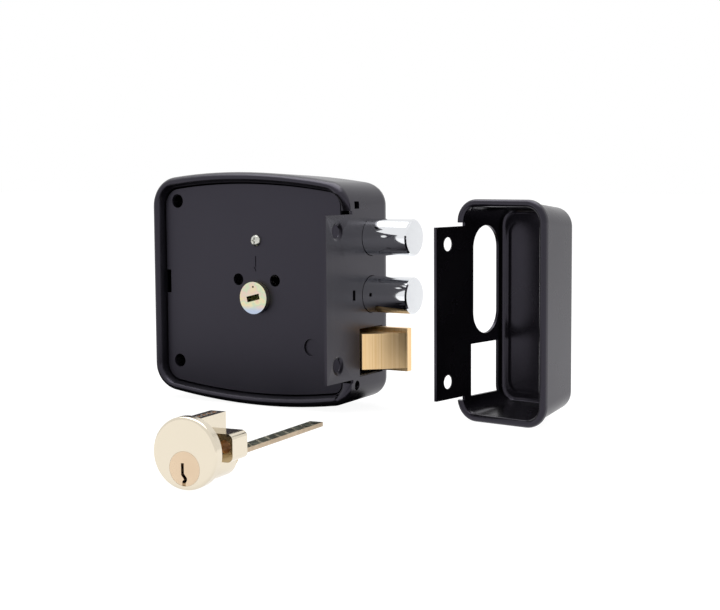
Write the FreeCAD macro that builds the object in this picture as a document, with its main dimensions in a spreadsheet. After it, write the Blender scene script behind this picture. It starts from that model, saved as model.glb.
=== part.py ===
"""Rim box lock with its strike box and its rim cylinder.

The frame: X runs from the lock towards its strike, Y from the door's face into
the room, Z up. The origin lies on the turning axis of the hub, where the outer
face of the back plate meets it, with X measured from the forend's outer face
at X = 0. All sizes are in millimetres.
"""
import FreeCAD
import Part
import Sketcher
import math
import os
from FreeCAD import Placement, Rotation, Vector

DRIVING_SIZES = [
    ("case_width", 127.5, "left edge of the case to the forend's outer face"),
    ("case_top", 67.7, "highest point of the arched top above the hub"),
    ("case_bottom", 58.5, "lowest point of the arched bottom below the hub"),
    ("case_depth", 42.0, "back plate's outer face to the room-side face"),
    ("arch_rise", 5.7, "rise of the arched top and bottom edges"),
    ("sheet", 1.5, "drawn steel sheet of the case and the strike"),
    ("left_corner", 16.0, "corner radius of the case, far from the forend"),
    ("top_corner", 14.0, "upper corner radius of the case at the forend"),
    ("low_corner", 11.0, "lower corner radius of the case at the forend"),
    ("room_edge", 8.0, "edge radius round the room-side face"),
    ("rim_radius", 2.8, "outer radius of the rolled rim"),
    ("rim_crest", 3.0, "rim's crest in front of the back plate"),
    ("plate_gap", 0.8, "gap between the rim and the back plate"),
    ("plate", 1.5, "back plate thickness"),
    ("flange", 22.9, "flange on the door's edge, beyond the back plate's face"),
    ("flange_top", 45.8, "upper end of the flange"),
    ("flange_low", 40.7, "lower end of the flange, below the hub"),
    ("relief", 1.8, "width of the relief notch between flange and rim"),
    ("flange_hole_y", 13.1, "flange holes in front of the back plate's face"),
    ("flange_hole_top", 37.2, "height of the upper flange hole"),
    ("flange_hole_gap", 69.1, "spacing of the two flange holes"),
    ("flange_hole", 7.0, "flange hole"),
    ("countersink", 1.85, "radial width of the countersinks in the flange holes"),
    ("countersink_depth", 1.0, "depth of the countersinks in the flange holes"),
    ("backset", 60.0, "forend's outer face to the hub's axis"),
    ("bolt_diameter", 19.5, "round bolts"),
    ("bolt_y", 21.0, "bolt axes behind the back plate's outer face"),
    ("bolt_high", 33.0, "axis of the upper bolt"),
    ("bolt_low", 2.6, "axis of the lower bolt"),
    ("bolt_throw", 26.2, "throw of the bolts"),
    ("bolt_length", 50.0, "length of a bolt"),
    ("bolt_gap", 0.3, "clearance round a bolt"),
    ("latch_nose", 18.4, "projection of the spring latch"),
    ("latch_front", 9.4, "front face of the latch behind the back plate's face"),
    ("latch_step", 26.7, "where the bevel meets the latch's tall rear lip"),
    ("latch_rear", 31.0, "rear face of the latch"),
    ("latch_top", 17.7, "top of the bevelled nose, below the hub"),
    ("latch_low", 36.6, "bottom of the bevelled nose, below the hub"),
    ("lip_top", 15.4, "top of the latch's lip, below the hub"),
    ("lip_low", 38.4, "bottom of the latch's lip, below the hub"),
    ("latch_body", 24.0, "latch behind the forend's outer face"),
    ("gear_module", 1.0, "tooth module of pinion and rack"),
    ("hub_head", 17.4, "hub disc on the outer face"),
    ("hub_proud", 3.5, "hub disc in front of the back plate"),
    ("hub_slot_long", 8.3, "slot for the tailpiece, long side"),
    ("hub_slot_wide", 3.1, "slot for the tailpiece, short side"),
    ("hub_slot_turn", 14.0, "slot's slope in degrees with the bolts thrown"),
    ("spindle", 11.0, "spindle diameter behind the journal"),
    ("journal", 13.0, "journal in the back plate"),
    ("carriage", 2.5, "thickness of the bolt carriage"),
    ("carriage_y", 11.6, "carriage's front face"),
    ("pillar_z", 30.9, "plate screw and pillar above the hub"),
    ("pillar_pin", 6.0, "pillar's thin end, which guides the carriage"),
    ("fixing_x", 113.0, "door-screw holes from the forend's outer face"),
    ("fixing_top", 51.5, "height of the upper door-screw hole"),
    ("fixing_low", 37.6, "lower door-screw hole, below the hub"),
    ("fixing_hole", 7.5, "door-screw hole"),
    ("cylinder_screw_x", 12.0, "cylinder-screw holes each side of the hub"),
    ("cylinder_screw_z", 9.5, "cylinder-screw holes above the hub"),
    ("lever_x", 80.0, "pivot of the latch lever from the forend"),
    ("lever_z", 3.0, "pivot of the latch lever, below the hub"),
    ("tail_z", 27.0, "middle of the latch tail, below the hub"),
    ("lever_y", 5.0, "front face of the latch lever and the retractor cam"),
    ("lever_plate", 2.5, "thickness of the latch lever and the retractor cam"),
    ("clearance", 0.05, "radial running clearance of turned parts"),
    ("strike_width", 50.0, "strike box, along X"),
    ("strike_top", 58.2, "top of the strike's walls above the hub's height"),
    ("strike_low", 51.5, "bottom of the strike's walls below the hub's height"),
    ("strike_depth", 36.5, "depth of the strike's walls"),
    ("strike_draft", 6.0, "how much the strike narrows to the back"),
    ("strike_corner", 10.0, "corner radius of the strike"),
    ("strike_edge", 4.0, "edge radius round the strike's back"),
    ("bead_radius", 1.9, "outer radius of the strike's rolled bead"),
    ("bead_proud", 1.2, "how far the bead stands out of the walls"),
    ("panel_rise", 1.5, "embossed panel on the strike's back"),
    ("disc_diameter", 29.7, "face of the rim cylinder"),
    ("disc_depth", 4.5, "thickness of the cylinder's face"),
    ("barrel", 15.8, "barrel of the cylinder"),
    ("barrel_length", 28.0, "cylinder's face to the end of the barrel"),
    ("plug_drop", 6.0, "plug's axis below the face's centre"),
    ("plug_core", 12.5, "plug behind its face"),
    ("plug_face", 14.1, "plug's face"),
    ("plug_face_depth", 1.5, "thickness of the plug's face"),
    ("bible_top", 13.4, "top of the pin housing above the face's centre"),
    ("bible_width", 7.2, "width of the pin housing"),
    ("pin_first", 7.6, "first pin behind the face"),
    ("pin_pitch", 3.95, "spacing of the pins"),
    ("pin", 2.6, "pin diameter"),
    ("lug_width", 31.0, "width over the two screw lugs"),
    ("lug_front", 11.5, "front face of the lugs"),
    ("lug_rear", 23.5, "rear face of the lugs"),
    ("lug_hole", 5.4, "threaded holes in the lugs"),
    ("tail_width", 6.6, "tailpiece width"),
    ("tail_thick", 2.0, "tailpiece thickness"),
    ("tail_end", 116.0, "cylinder's face to the tailpiece's end"),
]

PIN_COUNT = 5
PINION_TEETH = 16
PRESSURE_ANGLE = math.radians(20.0)
TOOTH_BACKLASH = 0.08
KEY_PIN_LENGTHS = [4.2, 5.0, 4.4, 5.4, 3.8]

# Where the two loose items stand beside the lock, on the same floor.
STRIKE_YAW = -7.95
STRIKE_X = 58.6
STRIKE_Y = 10.6
CYLINDER_YAW = 5.9
CYLINDER_X = 41.4
CYLINDER_Y = -195.0


class Size:
    """A length known both as a number and as a formula on the sheet."""

    def __init__(self, value, text):
        self.value = float(value)
        self.text = text

    def __add__(self, other):
        other = as_size(other)
        return Size(self.value + other.value, f"({self.text} + {other.text})")

    def __sub__(self, other):
        other = as_size(other)
        return Size(self.value - other.value, f"({self.text} - {other.text})")

    def __mul__(self, other):
        other = as_size(other)
        return Size(self.value * other.value, f"({self.text} * {other.text})")

    def __truediv__(self, other):
        other = as_size(other)
        return Size(self.value / other.value, f"({self.text} / {other.text})")

    def __radd__(self, other):
        return as_size(other) + self

    def __rsub__(self, other):
        return as_size(other) - self

    def __rmul__(self, other):
        return as_size(other) * self

    def __neg__(self):
        return Size(-self.value, f"(-{self.text})")

    def __float__(self):
        return self.value

    def root(self):
        return Size(math.sqrt(self.value), f"sqrt({self.text})")


def as_size(value):
    if isinstance(value, Size):
        return value
    return Size(value, f"({value:.9g})")


class Sizes:
    """The driving sizes, as attributes."""


doc = FreeCAD.newDocument("RimLock")
sheet = doc.addObject("Spreadsheet::Sheet", "Sizes")
s = Sizes()
for row, (alias, number, meaning) in enumerate(DRIVING_SIZES, start=1):
    sheet.set(f"A{row}", meaning)
    sheet.set(f"B{row}", str(number))
    sheet.setAlias(f"B{row}", alias)
    setattr(s, alias, Size(number, f"Sizes.{alias}"))
doc.recompute()

PLANE_ROLES = {"XY": "XY_Plane", "XZ": "XZ_Plane", "YZ": "YZ_Plane"}
PLANE_SIGNS = {"XY": 1.0, "XZ": -1.0, "YZ": 1.0}
ALONG_Y = Rotation(Vector(0, 0, 1), Vector(0, 1, 0))
ALONG_X = Rotation(Vector(0, 0, 1), Vector(1, 0, 0))


def bind(obj, name, size):
    """Tie a property to the sheet, or set it when it is a plain number."""
    if isinstance(size, Size) and "Sizes." in size.text:
        obj.setExpression(name, size.text)
    else:
        value = float(size)
        if "." in name:
            obj.setExpression(name, f"{value:.9g}")
        else:
            setattr(obj, name, value)


def new_body(label):
    body = doc.addObject("PartDesign::Body", label)
    body.Label = label
    return body


def new_sketch(body, name, plane, at=0.0):
    """A sketch on one of the body's own planes, moved to `at` along its axis."""
    sketch = body.newObject("Sketcher::SketchObject", name)
    for feature in body.Origin.OriginFeatures:
        if feature.Role == PLANE_ROLES[plane]:
            sketch.AttachmentSupport = (feature, "")
    sketch.MapMode = "FlatFace"
    offset = as_size(at) * PLANE_SIGNS[plane]
    if abs(offset.value) > 1e-9:
        bind(sketch, "AttachmentOffset.Base.z", offset)
    sketch.addProperty("App::PropertyString", "PlaneName")
    sketch.PlaneName = plane
    return sketch


def set_datum(sketch, index, size):
    if isinstance(size, Size) and "Sizes." in size.text:
        sketch.setExpression(f"Constraints[{index}]", size.text)


def pin_vertex(sketch, geometry, position, x, y):
    for kind, size in (("DistanceX", x), ("DistanceY", y)):
        rule = Sketcher.Constraint(kind, -1, 1, geometry, position, float(size))
        set_datum(sketch, sketch.addConstraint(rule), size)


def arc_geometry(start, end, radius, bulge_left):
    """The short arc from start to end, with its centre on the side away from the bulge."""
    chord = end - start
    half = chord.Length / 2.0
    radius = max(radius, half)
    normal = Vector(-chord.y, chord.x, 0) / chord.Length
    height = math.sqrt(max(radius * radius - half * half, 0.0))
    side = -1.0 if bulge_left else 1.0
    centre = (start + end) / 2.0 + normal * (side * height)
    angle_start = math.atan2(start.y - centre.y, start.x - centre.x)
    angle_end = math.atan2(end.y - centre.y, end.x - centre.x)
    circle = Part.Circle(centre, Vector(0, 0, 1), radius)
    if bulge_left:
        return Part.ArcOfCircle(circle, angle_end, angle_start), 2, 1
    return Part.ArcOfCircle(circle, angle_start, angle_end), 1, 2


def outline(sketch, points, arcs=None):
    """A closed outline. arcs maps a side's number to its radius and bulge side."""
    arcs = arcs or {}
    ends = []
    count = len(points)
    for number in range(count):
        x0, y0 = points[number]
        x1, y1 = points[(number + 1) % count]
        start = Vector(float(x0), float(y0), 0)
        end = Vector(float(x1), float(y1), 0)
        if number in arcs:
            radius, bulge_left = arcs[number]
            curve, first, last = arc_geometry(start, end, float(radius), bulge_left)
        else:
            curve, first, last = Part.LineSegment(start, end), 1, 2
        geometry = sketch.addGeometry(curve, False)
        ends.append((geometry, first, last))
    for number in range(count):
        geometry, first, last = ends[number]
        following, following_first, _ = ends[(number + 1) % count]
        sketch.addConstraint(Sketcher.Constraint("Coincident", geometry, last, following, following_first))
        pin_vertex(sketch, geometry, first, *points[number])
        if number in arcs:
            fix_arc(sketch, geometry, points[number], points[(number + 1) % count], arcs[number][0])
    return sketch


def fix_arc(sketch, geometry, start, end, radius):
    """Fix an arc whose ends are fixed: by its radius, or by its centre on a half circle."""
    across = abs(float(end[0]) - float(start[0]))
    along = abs(float(end[1]) - float(start[1]))
    if abs(math.hypot(across, along) - 2 * float(radius)) > 1e-6:
        kind, size = "Radius", radius
        rule = Sketcher.Constraint(kind, geometry, float(size))
    elif across > along:
        size = start[1]
        rule = Sketcher.Constraint("DistanceY", -1, 1, geometry, 3, float(size))
    else:
        size = start[0]
        rule = Sketcher.Constraint("DistanceX", -1, 1, geometry, 3, float(size))
    set_datum(sketch, sketch.addConstraint(rule), size)


def rectangle(sketch, x0, x1, y0, y1):
    return outline(sketch, [(x0, y0), (x1, y0), (x1, y1), (x0, y1)])


def rounded(sketch, x0, x1, y0, y1, radius):
    """A rectangle with rounded corners."""
    r = as_size(radius)
    x0, x1, y0, y1 = as_size(x0), as_size(x1), as_size(y0), as_size(y1)
    points = [
        (x0 + r, y0),
        (x1 - r, y0),
        (x1, y0 + r),
        (x1, y1 - r),
        (x1 - r, y1),
        (x0 + r, y1),
        (x0, y1 - r),
        (x0, y0 + r),
    ]
    return outline(sketch, points, {corner: (r, False) for corner in (1, 3, 5, 7)})


def obround(sketch, x0, x1, y0, y1):
    """A slot along the sketch's second axis with round ends."""
    radius = (as_size(x1) - x0) / 2
    points = [(x0, y0 + radius), (x1, y0 + radius), (x1, y1 - radius), (x0, y1 - radius)]
    return outline(sketch, points, {0: (radius, False), 2: (radius, False)})


def circle(sketch, x, y, diameter):
    radius = as_size(diameter) / 2
    shape = Part.Circle(Vector(float(x), float(y), 0), Vector(0, 0, 1), radius.value)
    geometry = sketch.addGeometry(shape, False)
    pin_vertex(sketch, geometry, 3, x, y)
    rule = Sketcher.Constraint("Radius", geometry, radius.value)
    set_datum(sketch, sketch.addConstraint(rule), radius)
    return sketch


def pad(body, sketch, length, forward=True):
    """Add material from the sketch, towards +axis when forward."""
    feature = body.newObject("PartDesign::Pad", f"{sketch.Name}_pad")
    feature.Profile = sketch
    bind(feature, "Length", as_size(length))
    feature.Reversed = forward != (PLANE_SIGNS[sketch.PlaneName] > 0)
    return feature


def pocket(body, sketch, length=None, forward=True):
    """Cut from the sketch, towards +axis when forward, or right through."""
    feature = body.newObject("PartDesign::Pocket", f"{sketch.Name}_cut")
    feature.Profile = sketch
    if length is None:
        feature.Type = "ThroughAll"
    else:
        bind(feature, "Length", as_size(length))
    feature.Reversed = forward == (PLANE_SIGNS[sketch.PlaneName] > 0)
    return feature


def edge_names(shape, test):
    return [f"Edge{number}" for number, edge in enumerate(shape.Edges, start=1) if test(edge)]


def fillet(body, base, test, radius, kind="PartDesign::Fillet"):
    """Round (or chamfer) the edges of the last feature that pass the test."""
    doc.recompute()
    feature = body.newObject(kind, f"{base.Name}_edge")
    feature.Base = (base, edge_names(base.Shape, test))
    bind(feature, "Radius" if kind.endswith("Fillet") else "Size", as_size(radius))
    return feature


def near(value, target, slack=0.02):
    return abs(value - float(target)) < slack


def runs_along_y(edge):
    a, b = edge.Vertexes[0].Point, edge.Vertexes[-1].Point
    return abs(b.y - a.y) > 0.5 and abs(edge.CenterOfMass.y - (a.y + b.y) / 2) < 0.01


def lies_at_y(edge, y):
    return all(near(vertex.Y, y) for vertex in edge.Vertexes) and near(edge.CenterOfMass.y, y)


def turned(label, steps, place, bore=0.0):
    """A turned piece round its own Z axis. steps holds (diameter, z0, z1), in order."""
    body = new_body(label)
    sketch = new_sketch(body, f"{label}_profile", "XZ")
    inner = as_size(bore) / 2
    points = [(inner, steps[0][1])]
    for diameter, z0, z1 in steps:
        radius = as_size(diameter) / 2
        points.append((radius, z0))
        points.append((radius, z1))
    points.append((inner, steps[-1][2]))
    outline(sketch, points)
    spin = body.newObject("PartDesign::Revolution", f"{label}_turning")
    spin.Profile = sketch
    spin.ReferenceAxis = (sketch, ["V_Axis"])
    spin.Angle = 360.0
    body.Placement = place
    return body


def place_along_y(x, y, z):
    return Placement(Vector(float(x), float(y), float(z)), ALONG_Y)


def plate_body(label, points, y0, thickness, arcs=None):
    """A flat plate across the lock, with its outline in X and Z."""
    body = new_body(label)
    sketch = new_sketch(body, f"{label}_outline", "XZ", y0)
    outline(sketch, points, arcs)
    pad(body, sketch, thickness)
    return body


def group(label, members):
    compound = doc.addObject("Part::Compound", label)
    compound.Label = label
    compound.Links = members
    return compound


def coil(radius, wire, length, turns):
    """A compression spring along +Z from the origin."""
    pitch = (length - wire) / turns
    helix = Part.makeHelix(pitch, length - wire, radius)
    section = Part.Wire(Part.makeCircle(wire / 2, Vector(radius, 0, 0), Vector(0, 1, 0)))
    shape = Part.Wire(helix.Edges).makePipeShell([section], True, True)
    shape.translate(Vector(0, 0, wire / 2))
    return shape


NODES = {}


def keep(obj):
    NODES[obj.Label] = obj
    return obj


# Places that several pieces share
HUB_X = -s.backset
FLOOR = -s.case_bottom
CASE_MIDDLE = (s.case_top - s.case_bottom) / 2
HALF_HEIGHT = (s.case_top + s.case_bottom) / 2
ARCH_RADIUS = s.case_width * s.case_width / (8 * s.arch_rise) + s.arch_rise / 2
RIM_BASE = s.rim_radius - s.rim_crest
ROOM_FACE = s.case_depth - s.sheet
BOLT_HOLE = s.bolt_diameter + 2 * s.bolt_gap
PITCH_RADIUS = PINION_TEETH * s.gear_module / 2
PILLAR_SEAT = s.carriage_y + s.carriage + 0.3
LATCH_WINDOW = (s.latch_front - 1.2, s.latch_rear + 0.8, -s.lip_low - 1.5, -s.lip_top + 0.6)


def mouth_corners(inset):
    """Tangent points of the case's rounded outline, or of one inside it.

    Returns, for each corner, the point on the upright side, the point on the
    arched side and the radius."""
    inset = as_size(inset)
    left = inset - s.case_width
    right = -inset
    middle_x = -s.case_width / 2
    arch = ARCH_RADIUS - inset
    corners = {}
    for name, side, up, radius in (
        ("top_right", right, 1, s.top_corner - inset),
        ("top_left", left, 1, s.left_corner - inset),
        ("low_left", left, -1, s.left_corner - inset),
        ("low_right", right, -1, s.low_corner - inset),
    ):
        arch_centre = CASE_MIDDLE + up * (HALF_HEIGHT - ARCH_RADIUS)
        centre_x = side - radius if side is right else side + radius
        across = centre_x - middle_x
        reach = arch - radius
        rise = (reach * reach - across * across).root()
        centre_z = arch_centre + up * rise
        share = arch / reach
        on_arch = (middle_x + across * share, arch_centre + up * rise * share)
        corners[name] = ((side, centre_z), on_arch, radius)
    return corners, arch


def case_outline(sketch, inset):
    """The arched outline of the case with its four rounded corners."""
    corners, arch = mouth_corners(inset)
    points = []
    arcs = {}
    for name, upright_first in (
        ("low_left", True),
        ("low_right", False),
        ("top_right", True),
        ("top_left", False),
    ):
        upright, on_arch, radius = corners[name]
        arcs[len(points)] = (radius, False)
        pair = [upright, on_arch] if upright_first else [on_arch, upright]
        points += pair
    arcs[1] = (arch, False)
    arcs[5] = (arch, False)
    return outline(sketch, points, arcs)


def rim_path(sketch, top_end, low_end):
    """The line that the rolled rim follows, from the upper relief notch to the lower one."""
    corners, arch = mouth_corners(0.0)
    chain = [
        ((0.0, top_end), None),
        (corners["top_right"][0], None),
        (corners["top_right"][1], corners["top_right"][2]),
        (corners["top_left"][1], arch),
        (corners["top_left"][0], corners["top_left"][2]),
        (corners["low_left"][0], None),
        (corners["low_left"][1], corners["low_left"][2]),
        (corners["low_right"][1], arch),
        (corners["low_right"][0], corners["low_right"][2]),
        ((0.0, low_end), None),
    ]
    return open_path(sketch, chain)


def open_path(sketch, chain):
    """An open path of sides and arcs that turn left."""
    last_end = None
    for number in range(1, len(chain)):
        (x0, y0), _ = chain[number - 1]
        (x1, y1), radius = chain[number]
        start = Vector(float(x0), float(y0), 0)
        end = Vector(float(x1), float(y1), 0)
        if radius is None:
            curve, first, last = Part.LineSegment(start, end), 1, 2
        else:
            curve, first, last = arc_geometry(start, end, float(radius), False)
        geometry = sketch.addGeometry(curve, False)
        pin_vertex(sketch, geometry, first, x0, y0)
        if last_end:
            sketch.addConstraint(Sketcher.Constraint("Coincident", last_end[0], last_end[1], geometry, first))
        if radius is not None:
            fix_arc(sketch, geometry, (x0, y0), (x1, y1), radius)
        last_end = (geometry, last)
    pin_vertex(sketch, last_end[0], last_end[1], *chain[-1][0])
    return sketch


def sweep(body, profile, path):
    feature = body.newObject("PartDesign::AdditivePipe", f"{profile.Name}_sweep")
    feature.Profile = profile
    feature.Spine = path
    feature.Transition = "Transformed"
    return feature


def hollow(body, base, face_test):
    """Leave one sheet's thickness of the solid, open where the face passes the test."""
    doc.recompute()
    names = [f"Face{n}" for n, face in enumerate(base.Shape.Faces, start=1) if face_test(face)]
    feature = body.newObject("PartDesign::Thickness", f"{base.Name}_hollow")
    feature.Base = (base, names)
    bind(feature, "Value", s.sheet)
    feature.Reversed = True
    feature.Mode = 0
    feature.Join = 0
    return feature


def rolled_section(sketch, outer_radius, base_y, leg, centre_x):
    """A rolled edge in section: half a ring of sheet, with an inner leg towards the room."""
    inner = outer_radius - s.sheet
    points = [
        (centre_x + outer_radius, base_y),
        (centre_x + inner, base_y),
        (centre_x - inner, base_y),
        (centre_x - inner, leg),
        (centre_x - outer_radius, leg),
        (centre_x - outer_radius, base_y),
    ]
    return outline(sketch, points, {1: (inner, True), 5: (outer_radius, False)})


def make_case_shell():
    """Drawn steel case: arched shell, rolled rim, forend and door-edge flange."""
    body = new_body("case_shell")
    mouth = case_outline(new_sketch(body, "case_mouth", "XZ", RIM_BASE), as_size(0.0))
    pad(body, mouth, s.case_depth - RIM_BASE)
    cavity = case_outline(new_sketch(body, "case_cavity", "XZ", RIM_BASE - 1.0), s.sheet)
    hollow = pocket(body, cavity, ROOM_FACE - RIM_BASE + 1.0)
    inside = fillet(body, hollow, lambda e: lies_at_y(e, ROOM_FACE), s.room_edge - s.sheet)
    fillet(body, inside, lambda e: lies_at_y(e, s.case_depth), s.room_edge)
    top_end = s.flange_top + s.relief
    low_end = -s.flange_low - s.relief
    section = new_sketch(body, "rim_section", "XY", top_end)
    rolled_section(section, s.rim_radius, RIM_BASE, s.plate, -s.rim_radius)
    path = rim_path(new_sketch(body, "rim_path", "XZ", RIM_BASE), top_end, low_end)
    sweep(body, section, path)
    flange = new_sketch(body, "flange", "YZ", -s.sheet)
    rectangle(flange, -s.flange, RIM_BASE + 1.0, -s.flange_low, s.flange_top)
    pad(body, flange, s.sheet)
    notches = new_sketch(body, "relief_notches", "YZ", 1.0)
    for z0, z1 in ((s.flange_top, top_end), (low_end, -s.flange_low)):
        rectangle(notches, -s.rim_crest - 1.0, RIM_BASE + s.relief, z0, z1)
    pocket(body, notches, s.sheet + 1.0, forward=False)
    cut_forend(body)
    cut_room_wall(body)
    return keep(body)


def cut_forend(body):
    """Bolt holes, latch opening, flange holes and the small slots of the forend."""
    holes = new_sketch(body, "forend_holes", "YZ", 1.0)
    for z in (s.bolt_high, s.bolt_low):
        circle(holes, s.bolt_y, z, BOLT_HOLE)
    rectangle(holes, *LATCH_WINDOW)
    rectangle(holes, *INSPECTION_SLOT)
    rectangle(holes, *UPPER_SLOT)
    obround(holes, *LOWER_SLOT)
    pocket(body, holes, s.sheet + 4.0, forward=False)
    screw_holes = new_sketch(body, "flange_holes", "YZ", 1.0)
    for z in FLANGE_HOLES:
        circle(screw_holes, -s.flange_hole_y, z, s.flange_hole)
    return sink_holes(body, pocket(body, screw_holes, s.sheet + 1.5, forward=False))


def is_flange_hole(edge, x):
    """True for a flange hole's edge on the face at x."""
    centre = edge.CenterOfMass
    return near(centre.x, x) and near(centre.y, -s.flange_hole_y) and near(edge.Length, math.pi * s.flange_hole.value)


def sink_holes(body, cut):
    """Countersink the flange holes on their outer face."""
    feature = fillet(body, cut, lambda e: is_flange_hole(e, 0.0), s.countersink_depth, "PartDesign::Chamfer")
    feature.ChamferType = "Two distances"
    bind(feature, "Size2", s.countersink)
    return feature


def cut_room_wall(body):
    """Openings in the room-side wall for the spindle's bush and the two door screws."""
    holes = new_sketch(body, "room_wall_holes", "XZ", s.case_depth - s.sheet - 1.0)
    circle(holes, HUB_X, 0.0, BUSH_DIAMETER)
    for z in FIXING_HOLES:
        circle(holes, -s.fixing_x, z, s.fixing_hole)
    pocket(body, holes, s.sheet + 3.0)


def make_back_plate():
    """Flat plate recessed in the rim, with its holes, edge notch, arrow and pressed dimple."""
    body = new_body("back_plate")
    inset = 2 * s.rim_radius + s.plate_gap
    face = case_outline(new_sketch(body, "plate_outline", "XZ", 0.0), inset)
    pad(body, face, s.plate)
    tongue = new_sketch(body, "plate_tongue", "XZ", 0.0)
    rectangle(tongue, -inset - 1.0, -s.sheet - 0.3, -s.flange_low + 0.5, s.flange_top - 0.5)
    pad(body, tongue, s.plate)
    boss = new_sketch(body, "dimple_back", "XZ", s.plate)
    circle(boss, DIMPLE[0], DIMPLE[1], DIMPLE[2] + 2.0)
    pad(body, boss, 1.1)
    holes = new_sketch(body, "plate_holes", "XZ", -1.0)
    circle(holes, HUB_X, 0.0, s.journal + 2 * s.clearance)
    circle(holes, HUB_X, s.pillar_z, PLATE_SCREW + 0.4)
    for side in (-1, 1):
        circle(holes, HUB_X + side * s.cylinder_screw_x, s.cylinder_screw_z, CYLINDER_SCREW_HOLE)
    for z in FIXING_HOLES:
        circle(holes, -s.fixing_x, z, s.fixing_hole)
    edge = inset - s.case_width
    rectangle(holes, edge - 1.0, edge + 2.8, *EDGE_NOTCH)
    pocket(body, holes, s.plate + 2.0)
    marks = new_sketch(body, "plate_marks", "XZ", -1.0)
    circle(marks, DIMPLE[0], DIMPLE[1], DIMPLE[2])
    pocket(body, marks, 2.1)
    arrow = new_sketch(body, "plate_arrow", "XZ", -1.0)
    shaft, head, tip, top = 0.35, 1.3, ARROW[0], ARROW[1]
    points = [
        (HUB_X - 0.4, tip),
        (HUB_X - 0.4 + head, tip + 2.6),
        (HUB_X - 0.4 + shaft, tip + 2.6),
        (HUB_X - 0.4 + shaft, top),
        (HUB_X - 0.4 - shaft, top),
        (HUB_X - 0.4 - shaft, tip + 2.6),
        (HUB_X - 0.4 - head, tip + 2.6),
    ]
    outline(arrow, points)
    pocket(body, arrow, 1.4)
    return keep(body)


def make_fixed_pieces():
    """Pillar, plate screw, door-screw tubes, bush, stiffener, latch guide and lever post."""
    at_pillar = place_along_y(HUB_X, 0.0, s.pillar_z)
    steps = [(s.pillar_pin, s.plate, PILLAR_SEAT), (10.0, PILLAR_SEAT, ROOM_FACE)]
    pillar = turned("guide_pillar", steps, at_pillar)
    bore = new_sketch(pillar, "pillar_bore", "XY", s.plate - 0.5)
    circle(bore, 0.0, 0.0, PLATE_SCREW)
    pocket(pillar, bore, 12.0)
    keep(pillar)
    steps = [(6.4, -1.9, 0.0), (PLATE_SCREW - 0.1, 0.0, 10.0)]
    keep(turned("plate_screw", steps, at_pillar))
    tubes = []
    for number, z in enumerate(FIXING_HOLES, start=1):
        place = place_along_y(-s.fixing_x, 0.0, z)
        steps = [(s.fixing_hole + 2.6, s.plate, ROOM_FACE - 0.1)]
        tubes.append(turned(f"fixing_tube_{number}", steps, place, s.fixing_hole))
    keep(group("fixing_tubes", tubes))
    at_hub = place_along_y(HUB_X, 0.0, 0.0)
    steps = [(BUSH_DIAMETER + 3.0, ROOM_FACE - 1.5, ROOM_FACE), (BUSH_DIAMETER - 0.1, ROOM_FACE, s.case_depth + 0.4)]
    keep(turned("spindle_bush", steps, at_hub, s.spindle + 2 * s.clearance))
    stiffener = new_body("forend_stiffener")
    face = new_sketch(stiffener, "stiffener_face", "YZ", -s.sheet - 3.0)
    rectangle(face, 6.0, 33.5, -s.flange_low - 0.8, s.flange_top + 1.7)
    for z in (s.bolt_high, s.bolt_low):
        circle(face, s.bolt_y, z, BOLT_HOLE)
    rectangle(face, *LATCH_WINDOW)
    pad(stiffener, face, 3.0)
    keep(stiffener)
    guide = new_body("latch_guide")
    bend = new_sketch(guide, "guide_bend", "XY", -s.lip_low + 2.0)
    wall = GUIDE_X - 2.0
    points = [
        (GUIDE_X, 12.0),
        (GUIDE_X, ROOM_FACE),
        (wall - 12.0, ROOM_FACE),
        (wall - 12.0, ROOM_FACE - 2.0),
        (wall, ROOM_FACE - 2.0),
        (wall, 12.0),
    ]
    outline(bend, points)
    pad(guide, bend, s.lip_low - s.latch_top - 2.5)
    window = new_sketch(guide, "guide_window", "YZ", wall - 1.0)
    rectangle(window, TAIL_Y - 0.3, TAIL_Y + TAIL_PLATE + 0.3, -s.tail_z - 4.3, -s.tail_z + 4.3)
    pocket(guide, window, 4.0)
    keep(guide)
    at_lever = place_along_y(-s.lever_x, 0.0, -s.lever_z)
    groove = s.lever_y + s.lever_plate + 0.2
    steps = [
        (8.0, s.plate, s.lever_y - 0.15),
        (5.0, s.lever_y - 0.15, groove),
        (4.0, groove, groove + 0.8),
        (5.0, groove + 0.8, groove + 1.4),
    ]
    keep(turned("lever_post", steps, at_lever))
    keep(clip_ring("lever_clip", 4.1, 8.0, groove + 0.05, 0.7, at_lever))


def clip_ring(label, inner, outer, z0, thickness, place):
    """A retaining ring with its opening."""
    ring = turned(label, [(outer, z0, as_size(z0) + thickness)], place, inner)
    gap = new_sketch(ring, f"{label}_gap", "XY", as_size(z0) - 0.5)
    rectangle(gap, -as_size(inner) * 0.35, as_size(inner) * 0.35, 0.0, as_size(outer))
    pocket(ring, gap, as_size(thickness) + 1.0)
    return ring


def involute(angle):
    return math.tan(angle) - angle


def tooth_half_angle(radius):
    """Half of a pinion tooth's angle at a radius, from its involute flanks."""
    pitch = PITCH_RADIUS.value
    base = pitch * math.cos(PRESSURE_ANGLE)
    half = math.pi / (2 * PINION_TEETH) - TOOTH_BACKLASH / pitch
    angle = math.acos(min(1.0, base / radius))
    return half + involute(PRESSURE_ANGLE) - involute(angle)


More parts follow.
